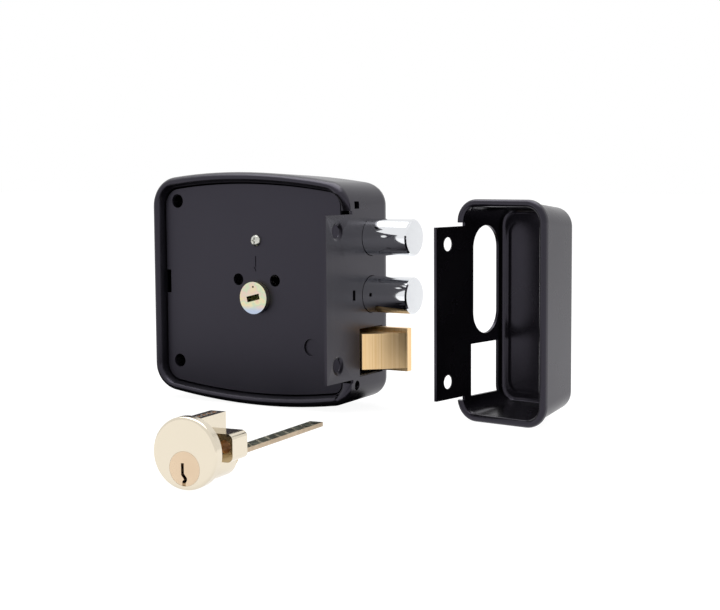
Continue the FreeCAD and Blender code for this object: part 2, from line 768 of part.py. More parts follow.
def make_pinion():
    """Sixteen-tooth pinion on the spindle, one tooth pointing down into the rack."""
    body = new_body("pinion")
    blank = new_sketch(body, "pinion_blank", "XZ", 0.0)
    circle(blank, 0.0, 0.0, 2 * PITCH_RADIUS + 2 * s.gear_module)
    circle(blank, 0.0, 0.0, s.spindle + 0.04)
    pad(body, blank, s.carriage)
    doc.recompute()
    module = s.gear_module.value
    root = PITCH_RADIUS.value - 1.25 * module
    tip = PITCH_RADIUS.value + 1.3 * module
    base = PITCH_RADIUS.value * math.cos(PRESSURE_ANGLE)
    radii = [root, base + 0.01, PITCH_RADIUS.value, PITCH_RADIUS.value + 0.55 * module, tip]
    middle = -math.pi / 2 + math.pi / PINION_TEETH
    step = math.pi / PINION_TEETH
    low_side = [(r, middle - step + tooth_half_angle(r)) for r in radii]
    high_side = [(r, middle + step - tooth_half_angle(r)) for r in reversed(radii)]
    points = [(r * math.cos(a), r * math.sin(a)) for r, a in low_side + high_side]
    gap = new_sketch(body, "tooth_gap", "XZ", -0.5)
    outline(gap, points)
    cut = pocket(body, gap, s.carriage + 1.0)
    doc.recompute()
    teeth = body.newObject("PartDesign::PolarPattern", "pinion_teeth")
    teeth.Originals = [cut]
    teeth.Axis = (origin_axis(body, "Y_Axis"), "")
    teeth.Angle = 360.0
    teeth.Occurrences = PINION_TEETH
    body.Tip = teeth
    body.Placement = Placement(Vector(HUB_X.value, s.carriage_y.value, 0), Rotation())
    return keep(body)


def origin_axis(body, role):
    for feature in body.Origin.OriginFeatures:
        if feature.Role == role:
            return feature
    raise RuntimeError(role)


def make_spindle():
    """Hub disc with the tailpiece slot, journal, and shaft to the room-side turn knob."""
    groove = s.carriage_y + s.carriage + 0.3
    steps = [
        (s.hub_head, -s.hub_proud, -0.2),
        (s.journal, -0.2, s.lever_y),
        (s.spindle, s.lever_y, groove),
        (s.spindle - 1.4, groove, groove + 1.0),
        (s.spindle, groove + 1.0, s.case_depth + 10.0),
    ]
    body = turned("spindle", steps, place_along_y(HUB_X, 0.0, 0.0))
    turn = math.radians(s.hub_slot_turn.value)
    along = (math.cos(turn), -math.sin(turn))
    across = (math.sin(turn), math.cos(turn))
    slot = new_sketch(body, "tailpiece_slot", "XY", -s.hub_proud - 1.0)
    points = []
    for i, j in ((-1, -1), (1, -1), (1, 1), (-1, 1)):
        x = s.hub_slot_long * (i * along[0] / 2) + s.hub_slot_wide * (j * across[0] / 2)
        y = s.hub_slot_long * (i * along[1] / 2) + s.hub_slot_wide * (j * across[1] / 2)
        points.append((x, y))
    outline(slot, points)
    pocket(body, slot, s.hub_proud + 19.0)
    keep(body)
    place = place_along_y(HUB_X, 0.0, 0.0)
    spacer = [(s.spindle + 3.4, s.lever_y + s.lever_plate, s.carriage_y)]
    keep(turned("spindle_spacer", spacer, place, s.spindle + 0.04))
    keep(clip_ring("spindle_clip", s.spindle - 1.3, s.spindle + 4.0, groove + 0.05, 0.9, place))


def make_retractor_cam():
    """Cam plate on the spindle, whose finger ends up beside the latch lever."""
    body = new_body("retractor_cam")
    finger_end = PITCH_RADIUS + 7.0
    sketch = new_sketch(body, "cam_ring", "XZ", 0.0)
    circle(sketch, 0.0, 0.0, s.spindle + 6.0)
    pad(body, sketch, s.lever_plate)
    finger = new_sketch(body, "cam_finger", "XZ", 0.0)
    half = as_size(2.5)
    points = [(0.0, -half), (finger_end - half, -half), (finger_end - half, half), (0.0, half)]
    outline(finger, points, {1: (half, False)})
    pad(body, finger, s.lever_plate)
    bore = new_sketch(body, "cam_bore", "XZ", -0.5)
    circle(bore, 0.0, 0.0, s.spindle + 0.04)
    pocket(body, bore, s.lever_plate + 1.0)
    start = CAM_END_ANGLE + math.degrees(s.bolt_throw.value / PITCH_RADIUS.value)
    turn = Rotation(Vector(0, -1, 0), start)
    body.Placement = Placement(Vector(HUB_X.value, s.lever_y.value, 0), turn)
    return keep(body)


def make_turn_knob():
    """Thumb turn on the room side with its set screw."""
    body = new_body("turn_knob")
    base_end = KNOB_BASE + 4.5
    base = new_sketch(body, "knob_base", "XY", KNOB_BASE)
    circle(base, 0.0, 0.0, 27.0)
    pad(body, base, 4.5)
    wing = new_sketch(body, "knob_wing", "XY", KNOB_BASE + 3.0)
    points = [(-4.0, -8.5), (4.0, -8.5), (4.0, 8.5), (-4.0, 8.5)]
    outline(wing, points, {0: (4.0, False), 2: (4.0, False)})
    grown = pad(body, wing, 15.0)
    top = KNOB_BASE.value + 18.0
    fillet(body, grown, lambda e: all(near(v.Z, top) for v in e.Vertexes), 1.5)
    bore = new_sketch(body, "knob_bore", "XY", KNOB_BASE - 1.0)
    circle(bore, 0.0, 0.0, s.spindle + 0.04)
    pocket(body, bore, s.case_depth + 10.3 - KNOB_BASE + 1.0)
    side = new_sketch(body, "set_screw_hole", "YZ", 3.0)
    circle(side, 0.0, KNOB_BASE + 2.3, 3.0)
    pocket(body, side, 15.0)
    body.Placement = place_along_y(HUB_X, 0.0, 0.0)
    keep(body)
    half = s.spindle / 2 + 0.1
    place = Placement(Vector(HUB_X.value, (KNOB_BASE + 2.3).value, 0), ALONG_X)
    keep(turned("knob_set_screw", [(2.9, half, half + 6.0)], place))


def make_bolts():
    """Two round bolts with a flat and a blind hole where the carriage is riveted on."""
    tail_end = s.bolt_throw - s.bolt_length
    for label, z in (("upper_bolt", s.bolt_high), ("lower_bolt", s.bolt_low)):
        body = new_body(label)
        section = new_sketch(body, f"{label}_section", "YZ", tail_end)
        circle(section, 0.0, 0.0, s.bolt_diameter)
        rod = pad(body, section, s.bolt_length)
        fillet(body, rod, lambda e: near(e.CenterOfMass.x, s.bolt_throw), 0.8, "PartDesign::Chamfer")
        flat = new_sketch(body, f"{label}_flat", "XZ", -s.bolt_diameter)
        rectangle(flat, tail_end - 1.0, CARRIAGE_END, -s.bolt_diameter, s.bolt_diameter)
        pocket(body, flat, s.bolt_diameter + s.carriage_y + s.carriage - s.bolt_y)
        hole = new_sketch(body, f"{label}_hole", "XZ", -s.bolt_diameter)
        circle(hole, RIVET_X, 0.0, RIVET)
        pocket(body, hole, s.bolt_diameter + 3.0)
        body.Placement = Placement(Vector(0, s.bolt_y.value, float(z)), Rotation())
        keep(body)


def make_carriage():
    """Bolt carriage: rack window round the pinion, guide slot, and rivet holes."""
    body = new_body("bolt_carriage")
    left = HUB_X - 16.0
    low = -s.latch_top + 3.5
    high = s.bolt_high + 10.0
    plate = new_sketch(body, "carriage_outline", "XZ", s.carriage_y)
    points = [
        (left, low),
        (CARRIAGE_END, low),
        (CARRIAGE_END, high),
        (CARRIAGE_END - 22.0, high),
        (CARRIAGE_END - 22.0, s.pillar_z + 7.5),
        (left + 9.0, s.pillar_z + 7.5),
        (left, s.pillar_z - 1.0),
    ]
    outline(plate, points)
    pad(body, plate, s.carriage)
    root = -PITCH_RADIUS - 1.25 * s.gear_module
    cuts = new_sketch(body, "carriage_cuts", "XZ", s.carriage_y - 1.0)
    rectangle(cuts, HUB_X - 10.0, HUB_X + s.bolt_throw + 9.8, root, PITCH_RADIUS + 2.2)
    slot_half = s.pillar_pin / 2 + 0.3
    x0, x1 = HUB_X, HUB_X + s.bolt_throw
    z0, z1 = s.pillar_z - slot_half, s.pillar_z + slot_half
    outline(cuts, [(x0, z0), (x1, z0), (x1, z1), (x0, z1)], {1: (slot_half, False), 3: (slot_half, False)})
    for z in (s.bolt_high, s.bolt_low):
        circle(cuts, RIVET_X, z, RIVET)
    pocket(body, cuts, s.carriage + 2.0)
    doc.recompute()
    pitch = math.pi * s.gear_module
    slope = math.tan(PRESSURE_ANGLE)
    half = pitch / 4 - TOOTH_BACKLASH
    foot = 1.25 * s.gear_module + 0.2
    top = 0.9 * s.gear_module
    first = HUB_X - pitch * 2.5
    tooth = new_sketch(body, "rack_tooth", "XZ", s.carriage_y)
    points = [
        (first - half - slope * foot, -PITCH_RADIUS - foot),
        (first + half + slope * foot, -PITCH_RADIUS - foot),
        (first + half - slope * top, -PITCH_RADIUS + top),
        (first - half + slope * top, -PITCH_RADIUS + top),
    ]
    outline(tooth, points)
    grown = pad(body, tooth, s.carriage)
    doc.recompute()
    count = 1 + int((s.bolt_throw.value + 15.0) / pitch.value)
    teeth = body.newObject("PartDesign::LinearPattern", "rack_teeth")
    teeth.Originals = [grown]
    teeth.Direction = (tooth, ["H_Axis"])
    teeth.Length = pitch.value * (count - 1)
    teeth.Occurrences = count
    body.Tip = teeth
    keep(body)
    rivets = []
    for number, z in enumerate((s.bolt_high, s.bolt_low), start=1):
        steps = [(8.0, s.carriage_y - 1.6, s.carriage_y), (RIVET - 0.04, s.carriage_y, s.bolt_y + 2.8)]
        rivets.append(turned(f"carriage_rivet_{number}", steps, place_along_y(RIVET_X, 0.0, z)))
    keep(group("carriage_rivets", rivets))


def make_latch():
    """Spring latch with its bevelled nose and tall lip, the tail, its rivet and lever pin."""
    body = new_body("latch_bolt")
    nose = new_sketch(body, "latch_nose", "XY", -s.latch_low)
    run = (s.latch_step - s.latch_front) * 1.02
    points = [
        (-s.latch_body, s.latch_front),
        (s.latch_nose - run, s.latch_front),
        (s.latch_nose, s.latch_step),
        (s.latch_nose, s.latch_rear),
        (-s.latch_body, s.latch_rear),
    ]
    outline(nose, points)
    pad(body, nose, s.latch_low - s.latch_top)
    lip = new_sketch(body, "latch_lip", "XY", -s.lip_low)
    rectangle(lip, -s.latch_body, s.latch_nose, s.latch_step, s.latch_rear)
    pad(body, lip, s.lip_low - s.lip_top)
    slot = new_sketch(body, "latch_slot", "XY", -s.lip_low - 1.0)
    rectangle(slot, -s.latch_body - 1.0, TAIL_ROOT + 0.2, TAIL_Y - 0.05, TAIL_Y + TAIL_PLATE + 0.05)
    pocket(body, slot, s.lip_low)
    cross = new_sketch(body, "latch_rivet_hole", "XZ", s.latch_front - 1.0)
    circle(cross, TAIL_ROOT - 4.0, -s.tail_z, 3.2)
    pocket(body, cross, s.latch_rear)
    keep(body)
    tail = new_body("latch_tail")
    bar = new_sketch(tail, "tail_bar", "XZ", TAIL_Y)
    rectangle(bar, TAIL_PIN_X - 8.0, TAIL_ROOT, -s.tail_z - 4.0, -s.tail_z + 4.0)
    pad(tail, bar, TAIL_PLATE)
    holes = new_sketch(tail, "tail_holes", "XZ", TAIL_Y - 1.0)
    circle(holes, TAIL_ROOT - 4.0, -s.tail_z, 3.2)
    circle(holes, TAIL_PIN_X, -s.tail_z, LEVER_PIN + 0.06)
    pocket(tail, holes, TAIL_PLATE + 2.0)
    keep(tail)
    place = place_along_y(TAIL_ROOT - 4.0, 0.0, -s.tail_z)
    keep(turned("tail_rivet", [(3.16, s.latch_front + 0.1, s.latch_rear - 0.1)], place))
    steps = [
        (LEVER_PIN, s.lever_y - 0.6, TAIL_Y - 1.2),
        (LEVER_PIN + 2.2, TAIL_Y - 1.2, TAIL_Y),
        (LEVER_PIN, TAIL_Y, TAIL_Y + TAIL_PLATE),
        (LEVER_PIN + 2.2, TAIL_Y + TAIL_PLATE, TAIL_Y + TAIL_PLATE + 1.0),
    ]
    keep(turned("lever_pin", steps, place_along_y(TAIL_PIN_X, 0.0, -s.tail_z)))
    spring = doc.addObject("Part::Feature", "latch_spring")
    spring.Label = "latch_spring"
    spring.Shape = coil(5.5, 0.9, -s.latch_body.value - GUIDE_X.value - 1.0, 6)
    seat = Vector(GUIDE_X.value + 0.5, (TAIL_Y + TAIL_PLATE / 2).value, -s.tail_z.value)
    spring.Placement = Placement(seat, ALONG_X)
    keep(spring)


def make_latch_lever():
    """Lever on its post, with an open fork over the latch tail's pin."""
    body = new_body("latch_lever")
    reach = s.tail_z - s.lever_z
    slot = LEVER_PIN / 2 + 0.3
    end = -reach - 5.5
    sketch = new_sketch(body, "lever_outline", "XZ", 0.0)
    points = [
        (-5.5, 0.0),
        (-4.6, end),
        (-slot, end),
        (-slot, -reach + 0.8),
        (slot, -reach + 0.8),
        (slot, end),
        (4.6, end),
        (5.5, 0.0),
    ]
    outline(sketch, points, {3: (slot, True), 7: (5.5, False)})
    pad(body, sketch, s.lever_plate)
    hole = new_sketch(body, "lever_hole", "XZ", -0.5)
    circle(hole, 0.0, 0.0, 5.0 + 2 * s.clearance)
    pocket(body, hole, s.lever_plate + 1.0)
    swing = math.degrees(math.atan2(s.latch_nose.value / 2, reach.value))
    turn = Rotation(Vector(0, -1, 0), swing)
    body.Placement = Placement(Vector(-s.lever_x.value, s.lever_y.value, -s.lever_z.value), turn)
    return keep(body)


def strike_form(body):
    """The solid form of the strike: upright at the flange, its other three walls tapered."""
    width, depth, draft = s.strike_width, s.strike_depth, s.strike_draft
    profile = new_sketch(body, "strike_profile", "XY", -s.strike_low)
    outline(profile, [(0.0, BEAD_BASE), (width, BEAD_BASE), (width - draft, depth), (0.0, depth)])
    pad(body, profile, s.strike_low + s.strike_top)
    tapers = new_sketch(body, "strike_tapers", "YZ", -1.0)
    for up, z in ((1, s.strike_top), (-1, -s.strike_low)):
        inner = z - draft * (0.6 * up)
        outer = z + up * 1.0
        beyond = depth + 1.0
        outline(tapers, [(BEAD_BASE, z), (depth, inner), (beyond, inner), (beyond, outer), (BEAD_BASE, outer)])
    tapered = pocket(body, tapers, width + 2.0)
    half_depth = depth.value / 2
    corners = fillet(body, tapered, lambda e: abs(e.Vertexes[0].Y - e.Vertexes[-1].Y) > half_depth, s.strike_corner)
    return fillet(body, corners, lambda e: lies_at_y(e, depth), s.strike_edge)


def make_strike():
    """Drawn strike box: drafted walls, beaded mouth, flange, bolt slot, latch window, raised panel."""
    body = new_body("strike_box")
    form = strike_form(body)
    hollow(body, form, lambda f: near(f.CenterOfMass.y, BEAD_BASE))
    panel = new_sketch(body, "panel_outer", "XZ", s.strike_depth - 0.5)
    right = s.strike_width - s.strike_draft - 2.4
    low, top = -s.strike_low + 8.0, s.strike_top - 9.5
    rounded(panel, 4.0, right, low, top, 8.0)
    raised = pad(body, panel, s.panel_rise + 0.5)
    rear = s.strike_depth + s.panel_rise
    fillet(body, raised, lambda e: lies_at_y(e, rear), 1.0)
    inner = new_sketch(body, "panel_inner", "XZ", s.strike_depth - s.sheet - 0.5)
    rounded(inner, 4.0 + s.sheet, right - s.sheet, low + s.sheet, top - s.sheet, 8.0 - s.sheet)
    pocket(body, inner, s.panel_rise + 0.5)
    flange = new_sketch(body, "strike_flange", "YZ", 0.0)
    rectangle(flange, -s.flange, BEAD_BASE + 1.0, -s.flange_low, s.flange_top)
    pad(body, flange, s.sheet)
    holes = new_sketch(body, "strike_holes", "YZ", -1.0)
    for z in FLANGE_HOLES:
        circle(holes, -s.flange_hole_y, z, s.flange_hole)
    sink_holes(body, pocket(body, holes, s.sheet + 2.0))
    section = new_sketch(body, "bead_section", "XY", -s.flange_low)
    bead_profile(section)
    path = new_sketch(body, "bead_path", "XZ", BEAD_BASE)
    strike_path(path, -s.flange_low, s.flange_top + s.relief)
    sweep(body, section, path)
    notches = new_sketch(body, "strike_notches", "YZ", -3.0)
    for z0, z1 in ((s.flange_top, s.flange_top + s.relief), (-s.flange_low - s.relief, -s.flange_low)):
        rectangle(notches, BEAD_BASE - 3.0, BEAD_BASE + 2.0, z0, z1)
    pocket(body, notches, 7.0)
    openings = new_sketch(body, "strike_openings", "YZ", -1.0)
    obround(openings, *STRIKE_SLOT)
    rectangle(openings, *STRIKE_WINDOW)
    pocket(body, openings, s.sheet + 2.0)
    body.Placement = Placement(Vector(STRIKE_X, STRIKE_Y, STRIKE_Z.value), Rotation(Vector(0, 0, 1), STRIKE_YAW))
    return keep(body)


def bead_profile(sketch):
    """The strike's rolled bead in section, standing out of the wall."""
    radius = s.bead_radius
    outer = -s.bead_proud
    inner = outer + 2 * radius
    heel = BEAD_BASE + 1.3
    points = [(outer, BEAD_BASE), (inner, BEAD_BASE), (inner, heel), (outer, heel)]
    return outline(sketch, points, {0: (radius, False)})


def strike_path(sketch, low_end, top_end):
    """The line that the bead follows, round the mouth from the lower notch to the upper one."""
    r = s.strike_corner
    low, top, right = -s.strike_low, s.strike_top, s.strike_width
    chain = [
        ((0.0, low_end), None),
        ((0.0, low + r), None),
        ((r, low), r),
        ((right - r, low), None),
        ((right, low + r), r),
        ((right, top - r), None),
        ((right - r, top), r),
        ((r, top), None),
        ((0.0, top - r), r),
        ((0.0, top_end), None),
    ]
    return open_path(sketch, chain)


def cylinder_place():
    """The cylinder lies on the floor on its face's edge, in front of the lock."""
    z = float(FLOOR) + s.disc_diameter.value / 2
    return Placement(Vector(CYLINDER_X, CYLINDER_Y, z), Rotation(Vector(0, 0, 1), CYLINDER_YAW))


def plug_place():
    """The plug's frame: its Z axis along the cylinder, its X axis to the right."""
    at_axis = Placement(Vector(0, 0, -s.plug_drop.value), ALONG_Y)
    return cylinder_place() * at_axis


def pin_positions():
    return [s.pin_first + number * s.pin_pitch for number in range(PIN_COUNT)]


def make_cylinder_housing():
    """Brass housing: face, barrel, pin housing and two threaded lugs."""
    body = new_body("cylinder_housing")
    face = new_sketch(body, "disc", "XZ", 0.0)
    circle(face, 0.0, 0.0, s.disc_diameter)
    disc = pad(body, face, s.disc_depth)
    rounded = fillet(body, disc, lambda e: near(e.CenterOfMass.y, 0.0), 1.1)
    barrel = new_sketch(body, "barrel", "XZ", s.disc_depth - 0.5)
    circle(barrel, 0.0, -s.plug_drop, s.barrel)
    pad(body, barrel, s.barrel_length - s.disc_depth + 0.5)
    bible = new_sketch(body, "pin_housing", "XZ", s.disc_depth - 0.5)
    half = s.bible_width / 2
    rectangle(bible, -half, half, -s.plug_drop, s.bible_top)
    pad(body, bible, s.barrel_length - s.disc_depth - 0.7)
    lugs = new_sketch(body, "lugs", "XZ", s.lug_front)
    reach = s.lug_width / 2
    rectangle(lugs, -reach, reach, LUG_LOW, LUG_TOP)
    ears = pad(body, lugs, s.lug_rear - s.lug_front)
    rear = s.lug_rear
    fillet(body, ears, lambda e: runs_along_y(e) and near(abs(e.CenterOfMass.x), reach), 2.6)
    bore = new_sketch(body, "plug_bore", "XZ", -1.0)
    circle(bore, 0.0, -s.plug_drop, s.plug_core + 2 * s.clearance)
    pocket(body, bore, s.barrel_length + 3.0)
    seat = new_sketch(body, "plug_seat", "XZ", -1.0)
    circle(seat, 0.0, -s.plug_drop, s.plug_face + 2 * s.clearance)
    pocket(body, seat, s.plug_face_depth + 1.05)
    screws = new_sketch(body, "lug_holes", "XZ", s.lug_front - 1.0)
    for side in (-1, 1):
        circle(screws, side * s.cylinder_screw_x, LUG_HOLE_Z, s.lug_hole)
    pocket(body, screws, s.lug_rear)
    chambers = new_sketch(body, "pin_chambers", "XY", -s.plug_drop)
    for y in pin_positions():
        circle(chambers, 0.0, y, s.pin + 0.3)
    pocket(body, chambers, s.bible_top + s.plug_drop + 1.0)
    body.Placement = cylinder_place()
    return keep(body)


def upright(y, z):
    """A place in the cylinder, upright on one of its pins."""
    return cylinder_place() * Placement(Vector(0, float(y), float(z)), Rotation())


def make_pins():
    """Pins, chamber springs and chamber plugs, with the pins at the shear line."""
    shear = s.plug_core / 2 - s.plug_drop
    key_pins, drivers, springs, plugs = [], [], [], []
    for number, y in enumerate(pin_positions(), start=1):
        length = KEY_PIN_LENGTHS[number - 1]
        top = shear - 0.15
        key_pins.append(turned(f"key_pin_{number}", [(s.pin, -length, 0.0)], upright(y, top)))
        drivers.append(turned(f"driver_pin_{number}", [(s.pin, 0.0, 4.0)], upright(y, shear + 0.1)))
        plugs.append(turned(f"chamber_plug_{number}", [(s.pin + 0.26, -2.2, 0.0)], upright(y, s.bible_top)))
        low, high = shear + 4.25, s.bible_top - 2.35
        sleeve = [(s.pin - 0.1, low, high)]
        springs.append(turned(f"chamber_spring_{number}", sleeve, upright(y, 0.0), s.pin - 0.8))
    keep(group("key_pins", key_pins))
    keep(group("driver_pins", drivers))
    keep(group("chamber_springs", springs))
    keep(group("chamber_plugs", plugs))


def make_plug():
    """Plug with its keyway and pin holes, the clip, the tailpiece and its retainer."""
    end = s.barrel_length + 2.6
    neck = s.plug_core - 1.6
    steps = [
        (s.plug_face, 0.0, s.plug_face_depth),
        (s.plug_core, s.plug_face_depth, s.barrel_length + 0.1),
        (neck, s.barrel_length + 0.1, s.barrel_length + 1.2),
        (s.plug_core, s.barrel_length + 1.2, end),
    ]
    body = turned("cylinder_plug", steps, plug_place())
    keyway = new_sketch(body, "keyway", "XY", -1.0)
    r = s.plug_face / 2
    points = [
        (-1.6, -2.2),
        (-0.3, -2.2),
        (-0.3, 2.0),
        (1.1, 3.7),
        (1.1, 4.8),
        (0.5, 5.6),
        (0.5, r + 1.0),
        (-1.1, r + 1.0),
        (-1.1, 5.2),
        (-0.3, 4.3),
        (-1.6, 2.6),
    ]
    outline(keyway, points)
    pocket(body, keyway, s.lug_rear + 4.0)
    holes = new_sketch(body, "plug_pin_holes", "XZ", -s.plug_core)
    for y in pin_positions():
        circle(holes, 0.0, y, s.pin + 0.2)
    pocket(body, holes, s.plug_core + 2.0)
    socket = new_sketch(body, "tail_socket", "XY", end - 1.6)
    circle(socket, 0.0, 0.0, 8.6)
    pocket(body, socket, 3.0)
    keep(body)
    keep(clip_ring("plug_clip", neck + 0.1, s.plug_core + 2.0, s.barrel_length + 0.2, 0.9, plug_place()))
    tail = turned("tailpiece", [(8.4, end - 1.5, end - 0.1)], plug_place())
    strip = new_sketch(tail, "tail_strip", "XY", end - 0.6)
    rectangle(strip, -s.tail_width / 2, s.tail_width / 2, -s.tail_thick / 2, s.tail_thick / 2)
    pad(tail, strip, s.tail_end - end + 0.6)
    keep(tail)
    ring = turned("tail_retainer", [(s.plug_core - 0.4, end + 0.02, end + 1.8)], plug_place())
    way = new_sketch(ring, "tail_way", "XY", end - 0.5)
    wide, thick = s.tail_width + 0.3, s.tail_thick + 0.3
    rectangle(way, -wide / 2, wide / 2, -thick / 2, thick / 2)
    pocket(ring, way, 4.0)
    keep(ring)


# Sizes of small features, kept beside the pieces that share them
FLANGE_HOLES = (s.flange_hole_top, s.flange_hole_top - s.flange_hole_gap)
FIXING_HOLES = (s.fixing_top, -s.fixing_low)
BUSH_DIAMETER = s.spindle + 4.0
PLATE_SCREW = as_size(4.0)
CYLINDER_SCREW_HOLE = 6.5
INSPECTION_SLOT = (1.6, 4.2, 0.4, 5.8)
UPPER_SLOT = (3.9, 8.5, 48.7, 52.7)
LOWER_SLOT = (3.2, 7.8, -46.6, -41.6)
EDGE_NOTCH = (0.6, 13.5)
DIMPLE = (-25.0, -25.2, 9.2)
ARROW = (13.9, 22.5)
GUIDE_X = -s.latch_body - 34.0
TAIL_Y = as_size(18.0)
TAIL_PLATE = as_size(2.0)
TAIL_ROOT = -s.latch_body + 7.8
TAIL_PIN_X = -s.lever_x + s.latch_nose / 2
LEVER_PIN = as_size(3.0)
CAM_END_ANGLE = 240.0
KNOB_BASE = s.case_depth + 0.8
CARRIAGE_END = -s.sheet - 3.3
RIVET = as_size(5.0)
RIVET_X = s.bolt_throw - s.bolt_length + 9.5
BEAD_BASE = as_size(-0.6)
STRIKE_Z = FLOOR + s.strike_low + s.bead_proud
STRIKE_SLOT = (8.9, 31.7, -10.0, 45.6)
STRIKE_WINDOW = (7.0, 31.6, -41.3, -14.6)
LUG_LOW = -4.6
LUG_TOP = 7.0
LUG_HOLE_Z = 1.8

make_case_shell()
make_back_plate()
make_fixed_pieces()
make_spindle()
make_pinion()
make_retractor_cam()
make_turn_knob()
make_bolts()
make_carriage()
make_latch()
make_latch_lever()
make_strike()
make_cylinder_housing()
make_pins()
make_plug()
doc.recompute()

faults = [f"{obj.Name}: {obj.State}" for obj in doc.Objects if {"Invalid", "Error"} & set(obj.State)]
for label, obj in NODES.items():
    if obj.Shape.isNull() or not obj.Shape.isValid():
        faults.append(f"{label}: no valid shape")
if faults:
    raise RuntimeError("; ".join(faults))
os.makedirs("parts", exist_ok=True)
for label, obj in NODES.items():
    obj.Shape.exportStep(f"parts/{label}.step")
    box = obj.Shape.BoundBox
    print(f"{label:20s} {len(obj.Shape.Solids)} {obj.Shape.Volume:10.1f}"
          f" x {box.XMin:.1f}..{box.XMax:.1f} y {box.YMin:.1f}..{box.YMax:.1f} z {box.ZMin:.1f}..{box.ZMax:.1f}")
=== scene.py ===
"""Looks of the rim box lock: satin black case, box strike and brass rim cylinder on a pale floor."""

import math

import bmesh
import bpy
from bpy.props import FloatProperty, IntProperty, PointerProperty, StringProperty
from bpy.types import Operator, Panel, PropertyGroup
from mathutils import Matrix, Vector


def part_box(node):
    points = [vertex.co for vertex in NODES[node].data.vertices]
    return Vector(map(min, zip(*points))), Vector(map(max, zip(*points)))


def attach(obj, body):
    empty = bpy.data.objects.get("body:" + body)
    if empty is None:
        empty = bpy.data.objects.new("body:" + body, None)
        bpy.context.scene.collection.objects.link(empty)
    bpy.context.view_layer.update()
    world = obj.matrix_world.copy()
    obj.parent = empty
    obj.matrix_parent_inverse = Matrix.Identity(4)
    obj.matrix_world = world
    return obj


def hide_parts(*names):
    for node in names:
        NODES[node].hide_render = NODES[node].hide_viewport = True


bl_info = {
    "name": "Rim box lock",
    "version": (1, 0, 0),
    "blender": (4, 5, 0),
    "location": "View3D > Sidebar > Rim lock",
    "description": "Finishes and small details of a rim box lock with strike and rim cylinder",
    "category": "Object",
}

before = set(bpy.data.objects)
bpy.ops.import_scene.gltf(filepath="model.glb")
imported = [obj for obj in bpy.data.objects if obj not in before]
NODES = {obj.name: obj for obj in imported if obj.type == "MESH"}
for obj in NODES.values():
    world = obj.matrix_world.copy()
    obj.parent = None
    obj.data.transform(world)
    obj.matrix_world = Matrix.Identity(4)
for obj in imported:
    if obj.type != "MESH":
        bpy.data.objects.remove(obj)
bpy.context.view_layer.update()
MM = 0.001

# The lock's own places: the forend's face is X 0, the plate's face Y 0 and the hub's height Z 0.
CASE_LOW, CASE_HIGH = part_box("case_shell")
CASE_MIDDLE = (Vector(CASE_LOW) + Vector(CASE_HIGH)) / 2
HALF_HEIGHT = (CASE_HIGH[2] - CASE_LOW[2]) / 2
ARCH_RADIUS = 359.3 * MM
FLANGE_Z = (-40.75 * MM, 45.85 * MM)
FLANGE_SIDE_X = -1.6 * MM
FLANGE_HOLES_END = 17.0 * MM
RIM_ENDS = (-42.5 * MM, 47.6 * MM)
RIM_SIDE_X = -7.0 * MM
SOLID_CREST = 3.0 * MM
CREST_AT_FOREND = 0.07
FLOOR_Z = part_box("case_shell")[0].z
HUB_X = -60.0 * MM
HUB_FACE_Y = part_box("spindle")[0].y
BOLT_END_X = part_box("upper_bolt")[1].x

# The plate screw: its outline as radius and place along Y, in millimetres, and its cross recess.
SCREW_Z = 30.9 * MM
SCREW_OUTLINE = (
    (0.0, -1.9),
    (1.2, -1.85),
    (2.2, -1.6),
    (2.9, -1.1),
    (3.2, -0.5),
    (3.2, 0.0),
    (1.95, 0.0),
    (1.95, 10.0),
    (0.0, 10.0),
)
SCREW_HEAD_RADIUS = 3.2
SCREW_SIDES = 40
RECESS_BAR = (3.9, 0.9)
RECESS_DEPTH = 1.6
RECESS_Y = -1.5 * MM

# The cylinder's own frame: turned a little on the floor, its axis running back from its face.
CYLINDER_FACE = Vector((41.4, -195.0, -43.65)) * MM
CYLINDER_YAW = math.radians(5.9)
PIN_COUNT = 5
PIN_PITCH = 3.95
SCORE_SLANT = math.radians(45.0)
THREAD_LENGTH = 11.0 * MM


STEEL_WORKS = (
    "bolt_carriage",
    "carriage_rivets",
    "chamber_springs",
    "forend_stiffener",
    "latch_guide",
    "latch_lever",
    "latch_spring",
    "latch_tail",
    "lever_clip",
    "lever_pin",
    "lever_post",
    "pinion",
    "plug_clip",
    "retractor_cam",
    "spindle_clip",
    "spindle_spacer",
    "tail_rivet",
)


